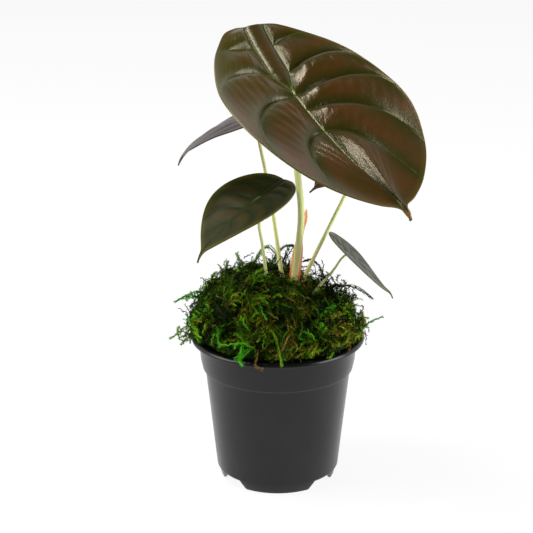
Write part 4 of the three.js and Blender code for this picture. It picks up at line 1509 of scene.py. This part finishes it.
    def sprig(self, frills: int) -> tuple[Points, Points]:
        """Model one straight strand of unit length with its frills, and read it as arrays.

        Args:
            frills: How many small leaflets stand out from it.

        Returns:
            Vertices, and triangles as rows of three indices.
        """
        bpy.ops.mesh.primitive_cone_add(vertices=3, radius1=self.stem_radii[0], radius2=self.stem_radii[1],
                                        depth=1, location=(0, 0, 0.5), end_fill_type="TRIFAN")
        stem = bpy.context.object
        bpy.ops.object.transform_apply(location=True, rotation=True, scale=True)
        cut_rings(stem, self.stem_cuts)
        parts = [stem]
        for i in range(frills):
            bpy.ops.mesh.primitive_cone_add(vertices=3, radius1=self.leaflet_half, radius2=0, depth=1,
                                            end_fill_type="NOTHING")
            leaflet = bpy.context.object
            open_mesh(leaflet)
            bpy.ops.mesh.select_non_manifold()
            bpy.ops.mesh.edge_face_add()
            close_mesh()
            at = (i + 0.3) / (frills + 0.4)
            turn = math.pi * (i % 2) + 0.9 * math.sin(2.1 * i)
            x, y, z = vertex_array(leaflet).T
            reach = (z + 0.5) * (self.leaflet_reach[0] - self.leaflet_reach[1] * at)
            place_vertices(leaflet, np.stack([
                reach * math.cos(turn) - 0.5 * y * math.sin(turn),
                reach * math.sin(turn) + 0.5 * y * math.cos(turn),
                np.clip(at + (z + 0.5) * 0.12 + x * 0.045, 0, 1.04)], axis=1))
            parts.append(leaflet)
        select_only(*parts[1:], stem)
        bpy.ops.object.join()
        whole = bpy.context.object
        face_outwards(whole)
        apply_modifier(whole, "TRIANGULATE")
        vertices = vertex_array(whole)
        triangles = np.array([tuple(face.vertices) for face in whole.data.polygons])
        bpy.data.objects.remove(whole)
        return vertices, triangles

    def tufts(self) -> dict[str, Points]:
        """Scatter the clumps that strands gather in evenly over the mound, each with its lie and tone."""
        random = np.random.default_rng(5)
        n = self.tuft_count
        line = self.outline()
        ring = np.linalg.norm(np.diff(line, axis=0), axis=1) * (line[1:, 0] + 5)
        area = np.concatenate([[0], np.cumsum(ring)])
        low = area[len(area) // 5]
        even = low + (area[-1] - low) * (np.arange(n) + 0.5) / n
        share = np.interp(even, area, np.linspace(0, 1, len(line)))
        angle = math.pi * (3 - math.sqrt(5)) * np.arange(n) + random.normal(scale=self.tuft_jitter, size=n)
        root = self.surface(angle, share)
        outward = unit(root - np.array([0.0, 0.0, self.centre_height]))
        heading = random.normal(size=(n, 3)) - np.array([0.0, 0.0, self.tuft_droop])
        heading = unit(square_to(heading, outward))
        rise = random.uniform(*self.tuft_rise, n) * smoothstep(share, 0.2, 0.4)
        tone = random.uniform(-self.tuft_tone, self.tuft_tone, n)
        return {"root": root, "outward": outward, "heading": heading, "rise": rise, "tone": tone}

    def routes(self, family: Strands, random: np.random.Generator) -> tuple[Points, Points, Points]:
        """Draw the bends of a family's strands over the mound.

        Args:
            family: Family of strands.
            random: Seeded source of random numbers.

        Returns:
            Four control points per strand, how deep each strand lies from 0 to 1, and its tuft's tone.
        """
        n, tufts = family.count, self.tufts()
        favour = np.full(self.tuft_count, family.evenness)
        for home in family.homes:
            away = np.linalg.norm(tufts["root"] - np.array(home), axis=1) / self.tuft_reach
            favour += np.exp(-(away**2))
        pick = random.choice(self.tuft_count, n, p=favour / favour.sum())
        outward = tufts["outward"][pick]
        offset = square_to(random.normal(scale=family.spread, size=(n, 3)), outward)
        away = np.linalg.norm(offset, axis=1) / family.spread
        depth = np.clip(0.7 * random.uniform(0, 1, n) ** 1.3 + 0.22 * away - 0.12, 0, 1)
        edge_drop = np.minimum(0.7 * away * away, 3.5) * min(4 / family.spread, 1)
        height = tufts["rise"][pick] - 1.0 - 2.6 * depth - edge_drop
        root = tufts["root"][pick] + offset + outward * height[:, None]
        length = random.uniform(*family.length, n)
        stray = random.uniform(0, 1, n) < family.stray
        control = [root]
        heading = tufts["heading"][pick] + random.normal(scale=self.wander, size=(n, 3))
        heading = unit(square_to(heading, outward))
        lift = family.lift * random.uniform(0.2, 1.5, n) * (1 - 0.7 * depth) + stray * 1.1
        for share, climb, fall in STRAND_STEPS:
            step = heading + random.normal(scale=self.wander, size=(n, 3)) + outward * (lift * climb)[:, None]
            step[:, 2] -= fall
            control.append(control[-1] + unit(step) * (length * share * (1 + 0.2 * stray))[:, None])
        routes, tone = self.inside_lip(np.stack(control, axis=1)), tufts["tone"][pick]
        if family.wayward:
            drawn = through_four(np.array(family.wayward, dtype=float))
            apart = random.normal(scale=self.wayward_apart, size=(2 * len(drawn), 1, 3))
            routes = np.concatenate([routes, drawn, np.concatenate([drawn, drawn]) + apart])
            # The drawn strands get a fixed painted shade
            depth = np.concatenate([depth, np.full(3 * len(drawn), self.wayward_shade)])
            tone = np.concatenate([tone, np.zeros(3 * len(drawn))])
        return routes, depth, tone

    def inside_lip(self, routes: Points) -> Points:
        """Draw in the low bends of strands at the front, so that the pot's lip shows under them."""
        radius = np.hypot(routes[..., 0], routes[..., 1])
        radius_at_lip, widening = self.front_lip
        most = radius_at_lip + widening * np.maximum(routes[..., 2] - self.lip_top - 1.0, 0)
        draw = np.minimum(most / np.maximum(radius, 1), 1)
        front = smoothstep(-routes[..., 1], 8, 30)
        routes[..., :2] *= (1 + (draw - 1) * front)[..., None]
        return routes

    def clear_of_rim(self, line: Points) -> Points:
        """Lift points that would lie in the mix or the pot's wall, or hang below its lip.

        Args:
            line: Points, one per row.

        Returns:
            The same points, clear of the mix and the pot.
        """
        radius = np.hypot(line[:, 0], line[:, 1])
        lowest = np.select([radius <= self.wall_inside, radius < self.wall_outside],
                           [self.mix_level, self.lip_top + 0.9], self.overhang_level)
        line[:, 2] = np.maximum(line[:, 2], lowest)
        return line

    def build_strands(self, family: Strands) -> None:
        """Grow one family of strands as a single piece, and dress it.

        Args:
            family: Family to grow.
        """
        random = np.random.default_rng(family.seed)
        vertices, triangles = self.sprig(family.frills)
        control, depth, patch = self.routes(family, random)
        n, m = len(control), len(vertices)
        t = np.clip(vertices[:, 2], 0, 1)[None, :, None]
        p0, p1, p2, p3 = (control[:, None, i, :] for i in range(4))
        centre = (1 - t) ** 3 * p0 + 3 * t * (1 - t) ** 2 * p1 + 3 * t * t * (1 - t) * p2 + t**3 * p3
        tangent = unit(3 * (1 - t) ** 2 * (p1 - p0) + 6 * t * (1 - t) * (p2 - p1) + 3 * t * t * (p3 - p2))
        across = unit(np.cross(tangent, random.normal(size=(n, 1, 3))))
        other = np.cross(tangent, across)
        girth, turns, start, curl = (random.uniform(*span, n)[:, None, None] for span in (
            family.girth, self.curl_turns, (0, 6.28), self.curl_reach))
        curl = curl * np.sqrt(t)
        centre = centre + curl * (np.sin(turns * t + start) * across + np.cos(turns * t + start) * other)
        centre = self.clear_of_rim(centre.reshape(-1, 3)).reshape(n, m, 3)
        placed = centre + girth * (vertices[None, :, :1] * across + vertices[None, :, 1:2] * other)
        faces = (triangles[None] + (np.arange(n) * m)[:, None, None]).reshape(-1, 3)
        mesh = bpy.data.meshes.new("moss_" + family.tone.name.lower())
        mesh.from_pydata((placed.reshape(-1, 3) * MM).tolist(), [], faces.tolist())
        piece = bpy.data.objects.new(mesh.name, mesh)
        bpy.context.scene.collection.objects.link(piece)
        tone = self.tone_middle + patch + random.uniform(-self.tone_swing, self.tone_swing, n)
        tip = self.tip_tone * np.clip(vertices[:, 2], 0, 1)
        store(piece, "tone", (np.clip(tone, 0, 1)[:, None] + tip[None, :]).ravel())
        # Painted shade: each strand darkens towards its root
        root = self.root_shade * (1 - np.clip(vertices[:, 2] * 1.5, 0, 1))
        store(piece, "depth", np.clip(depth[:, None] * 0.8 + root[None, :], 0, 1).ravel())
        dress(piece, MossFinish(family.tone).material())
        present(piece, "moss", 80)

    def build(self) -> None:
        """Build the core and every family of strands."""
        self.build_core()
        for family in self.families:
            self.build_strands(family)


# The plant

COPPER = LeafFinish(
    "blade_great", puff=(0.052, 0.03, 0.005), puff_warm=(0.072, 0.03, 0.006), valley=(0.029, 0.028, 0.002),
    vein=(0.07, 0.08, 0.008), rib=(0.08, 0.12, 0.01), rim=(0.11, 0.085, 0.012), under=(0.1, 0.03, 0.03),
    under_vein=(0.16, 0.14, 0.05), valley_reach=8.0, roughness=0.2, grain=0.07)
DARK_OLIVE = LeafFinish(
    "blade_left", puff=(0.024, 0.028, 0.006), puff_warm=(0.04, 0.031, 0.007), valley=(0.014, 0.022, 0.004),
    vein=(0.022, 0.03, 0.006), rib=(0.08, 0.13, 0.025), rim=(0.12, 0.11, 0.012), under=(0.08, 0.03, 0.03),
    under_vein=(0.12, 0.12, 0.05), tip=(0.16, 0.1, 0.04), tip_reach=3.0, valley_reach=4.5, roughness=0.45,
    gloss=0.18)
# Green leaf whose grey, silvery cast is partly its colour and partly a painted sheen for reflections at grazing
# angles
GREY_GREEN_PAINTED_SHEEN = LeafFinish(
    "blade_right", puff=(0.03, 0.04, 0.022), puff_warm=(0.04, 0.045, 0.024), valley=(0.014, 0.022, 0.009),
    vein=(0.06, 0.075, 0.035), rib=(0.14, 0.17, 0.07), rim=(0.14, 0.14, 0.03), under=(0.1, 0.06, 0.05),
    under_vein=(0.15, 0.16, 0.08), tip=(0.3, 0.25, 0.12), tip_reach=4.0, valley_reach=2.5, roughness=0.34,
    gloss=0.2, grain=0.01)
# Dark purple-brown leaf whose grey cast is a painted sheen, standing in for reflections at grazing angles
PURPLE_GREY_PAINTED_SHEEN = LeafFinish(
    "blade_back", puff=(0.036, 0.025, 0.027), puff_warm=(0.055, 0.032, 0.032), valley=(0.014, 0.011, 0.011),
    vein=(0.05, 0.04, 0.032), rib=(0.07, 0.055, 0.04), rim=(0.07, 0.045, 0.04), under=(0.09, 0.04, 0.04),
    under_vein=(0.13, 0.1, 0.07), tip=(0.045, 0.02, 0.02), tip_reach=8.0, valley_reach=5.0, roughness=0.36,
    gloss=0.25, grain=0.01)
RED_BROWN = LeafFinish(
    "blade_hidden", puff=(0.085, 0.03, 0.02), puff_warm=(0.1, 0.032, 0.022), valley=(0.05, 0.022, 0.012),
    vein=(0.08, 0.05, 0.02), rib=(0.1, 0.06, 0.03), rim=(0.08, 0.035, 0.02), under=(0.1, 0.035, 0.03),
    under_vein=(0.1, 0.06, 0.03), tip=(0.1, 0.045, 0.03), tip_reach=3.0, valley_reach=2.5, roughness=0.36)


class Alocasia:
    """The whole plant: five leaves, each a blade on its stalk, and the sheath."""

    def __init__(self) -> None:
        """Lay out the blades and the stalks that carry them."""
        self.great = Blade(
            "blade_great", (7.6, 0, 240.6), heading=-59.4, descent=28.1, roll=4.6, curl=(-0.0089, -0.009),
            droop=-0.001, rise=0.0018, twist=-0.0004, sway=0.0008, finish=COPPER,
            margins=(GREAT_LEFT, GREAT_RIGHT), veins=(GREAT_VEINS_LEFT, GREAT_VEINS_RIGHT), basal=6.4,
            tail=(110, 0.11), relief=3.6, groove=0.7, thickness=1.0, rows=230, columns=62, wedge=12,
            vein_half=0.42, rib_half=1.0, rear_rib=True, olive=True, quilting=(0.22, 0.4),
            rises=((0.16, 0.2), (0.22, 0.1)), fields=(
                (PuffedField(height=0.3), PuffedField(-15, 1.5, 0.6), PuffedField(5, 1.5, 0.6),
                 PuffedField(18, 1.2, 0.6), PuffedField(38, 1.2, 0.7)),
                (PuffedField(), PuffedField(-15, 1.5, 0.7), PuffedField(5, 1.7, 0.7),
                 PuffedField(38, 1.7, 0.7))))
        self.back = Blade(
            "blade_back", (-13.2, 32, 215.9), heading=140.4, descent=8.3, roll=3.7, curl=(0.0098, -0.0049),
            droop=0.0105, rise=0.0043, twist=-0.0054, finish=PURPLE_GREY_PAINTED_SHEEN, scale=68 / YOUNG_LENGTH,
            basal=2.45, tail=(66, 0.03), relief=1.4)
        self.left = Blade(
            "blade_left", (-10.9, 1.5, 176.2), heading=-134.5, descent=18.6, roll=0.7,
            curl=(-0.0016, -0.0325), droop=0.0068, rise=-0.0027, twist=0.0044, sway=-0.001,
            finish=DARK_OLIVE, scale=52.1 / YOUNG_LENGTH, width=0.87, basal=1.67, tail=(50, 0.09),
            relief=0.7, groove=0.15)
        self.right = Blade(
            "blade_right", (41.3, -5, 143.4), heading=7.2, descent=46.1, roll=1.2, curl=(-0.0149, -0.0054),
            droop=-0.0009, rise=0.0013, twist=-0.0006, finish=GREY_GREEN_PAINTED_SHEEN, scale=36.8 / YOUNG_LENGTH,
            width=0.99, basal=1.03, tail=(36, 0.1), relief=0.8, thickness=0.7, rows=70, columns=20)
        self.hidden = Blade(
            "blade_hidden", (48.3, 15, 196.7), heading=-145.6, descent=20, roll=0, curl=(-0.004, -0.004),
            droop=0.003, finish=RED_BROWN, scale=35.3 / YOUNG_LENGTH, basal=0.99, tail=(34.4, 0.03),
            relief=0.9, thickness=0.7, rows=70, columns=20)
        thin = StalkFinish("stalk_green")
        self.stalks = [
            Stalk("stalk_great", self.great, [
                (8, 2, 98), (9.1, 2, 117.6), (12, 3, 142.7), (13.7, 3.6, 161.2), (13.3, 3, 173.6),
                (11.4, 3, 190.2), (9.2, 3, 216.6)], (2.2, 1.85),
                StalkFinish("stalk_pale", foot=(0.84, 0.8, 0.32), foot_share=0.5)),
            Stalk("stalk_back", self.back, [
                (5, 6, 98), (3.8, 7.8, 116.2), (1.4, 10, 131.1), (-2.8, 18, 160.1), (-7.6, 25.5, 185.2),
                (-11.6, 30.5, 203.9)], (1.45, 0.9), thin),
            Stalk("stalk_left", self.left, [
                (3.5, 0, 96), (-2.8, -1.6, 109.5), (-6, -1.6, 122.2), (-9.4, 0.5, 146.8),
                (-11.4, 1.2, 160.6)], (1.15, 0.85), thin),
            Stalk("stalk_hidden", self.hidden, [
                (11, 7.5, 97), (13.6, 9, 116.2), (18, 9.4, 127.4), (28.6, 12, 149.6), (37.3, 14, 167.6),
                (41.6, 14.6, 176.6), (46.6, 15.4, 185)], (1.35, 0.95), thin),
            Stalk("stalk_right", self.right, [
                (13, 0, 95), (16.6, -2.5, 107.5), (21.4, -4.5, 118), (28, -5, 126.4), (34, -5.2, 134.2)],
                (1.05, 0.65), thin),
        ]

    def build(self) -> None:
        """Build every blade, stalk and the sheath."""
        for blade in (self.great, self.back, self.left, self.right, self.hidden):
            blade.build()
        for stalk in self.stalks:
            stalk.build()
        Sheath().build()


# Ground, light and camera

@dataclass
class Studio:
    """White ground that glows with painted light, darker in front, a bright backdrop, three lamps and the
    camera. Metres, degrees and pixels.

    A fade of the floor or the sky starts and ends at its first two numbers, and its strength goes
    from the third to the fourth.
    """

    camera_at: Place = (-0.0069, -0.9385, 0.4473)
    camera_pitch: float = 71.5
    focal_pixels: float = 1650.0
    frame_pixels: float = 533.0
    sensor_mm: float = 36.0
    aim: Place = (0.0, 0.0, 0.18)
    floor_size: float = 14.0
    floor_grey: float = 0.15
    floor_painted_glow: tuple[float, float, float, float] = (-0.34, -0.18, 0.35, 0.88)
    sky_rise: tuple[float, float, float, float] = (0.38, 0.88, 1.0, 0.12)
    sky_turn: tuple[float, float, float, float] = (-0.2, 0.5, 0.15, 0.92)

    def floor(self) -> None:
        """Lay the pale floor, which glows with painted light that fades darker towards the front."""
        bpy.ops.mesh.primitive_plane_add(size=self.floor_size, location=(0, 0, -0.0001))
        floor = added("floor")
        shader = Shader("floor_white")
        # Painted light: the floor's glow dims over a strip in front of the plant
        glow = shader.step(shader.axis("Y"), *self.floor_painted_glow)
        shader.set(Base_Color=(self.floor_grey,) * 3, Roughness=1.0, Specular_IOR_Level=0.0,
                   Emission_Color=(1.0, 1.0, 1.0), Emission_Strength=glow)
        dress(floor, shader.material)

    def lamp(self, name: str, at: Place, size: Pair, power: float,
             colour: Colour = (1, 1, 1)) -> None:
        """Hang a rectangular lamp that faces the plant.

        Args:
            name: Lamp's name.
            at: Its place.
            size: Its width and height.
            power: Its power in watts.
            colour: Its colour.
        """
        bpy.ops.object.light_add(type="AREA", location=at)
        lamp = added(name)
        lamp.data.shape = "RECTANGLE"
        lamp.data.size, lamp.data.size_y = size
        lamp.data.energy = power
        lamp.data.color = colour
        lamp.rotation_euler = (Vector(self.aim) - Vector(at)).to_track_quat("-Z", "Y").to_euler()

    def sky(self) -> None:
        """Set the surroundings: white low down and behind, darker overhead and in front."""
        world = bpy.data.worlds.new("surroundings")
        bpy.context.scene.world = world
        world.use_nodes = True
        wiring = Wiring(world.node_tree)
        direction = wiring.add("SeparateXYZ", {0: wiring.add("TexCoord").outputs["Generated"]}).outputs
        low = wiring.step(direction["Z"], *self.sky_rise)
        behind = wiring.step(direction["Y"], *self.sky_turn)
        background = world.node_tree.nodes["Background"]
        wiring.plug(background.inputs["Strength"], wiring.math("MULTIPLY", low, behind))
        wiring.plug(background.inputs["Color"], (1.0, 1.0, 1.0))

    def camera(self) -> None:
        """Set up the camera at the photograph's place and angle."""
        bpy.ops.object.camera_add(location=self.camera_at, rotation=(math.radians(self.camera_pitch), 0, 0))
        camera = bpy.context.object
        camera.data.sensor_width = self.sensor_mm
        camera.data.lens = self.focal_pixels / self.frame_pixels * self.sensor_mm
        camera.data.clip_start = 0.05
        bpy.context.scene.camera = camera

    def build(self) -> None:
        """Build the camera, the floor and the light."""
        self.camera()
        self.floor()
        self.sky()
        self.lamp("overhead", at=(-0.58, 0.14, 1.62), size=(0.5, 0.5), power=13, colour=(1, 0.97, 0.93))
        self.lamp("left_panel", at=(-1.2, -0.25, 0.75), size=(0.9, 0.9), power=14)
        self.lamp("right_panel", at=(1.2, -0.35, 0.5), size=(0.9, 0.9), power=15)
        bpy.context.scene.view_settings.view_transform = "Standard"


def dress_hidden_nodes() -> None:
    """Give the mix and the rootstock, which the moss hides, their earthy finishes."""
    finishes = {
        "potting_mix": EarthFinish(
            "damp_mix", dark=(0.012, 0.008, 0.005), light=(0.05, 0.035, 0.022), grain=240.0),
        "rootstock": EarthFinish(
            "rootstock_bark", dark=(0.16, 0.12, 0.05), light=(0.34, 0.3, 0.13), grain=160.0),
    }
    for node, finish in finishes.items():
        dress(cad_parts[node], finish.material())
        log.info("%s: kept with a new finish", node)


def main() -> None:
    """Build the studio, the pot, the moss and the plant."""
    Studio().build()
    NurseryPot().build()
    dress_hidden_nodes()
    MossMound().build()
    Alocasia().build()


if __name__ == "__main__":
    main()
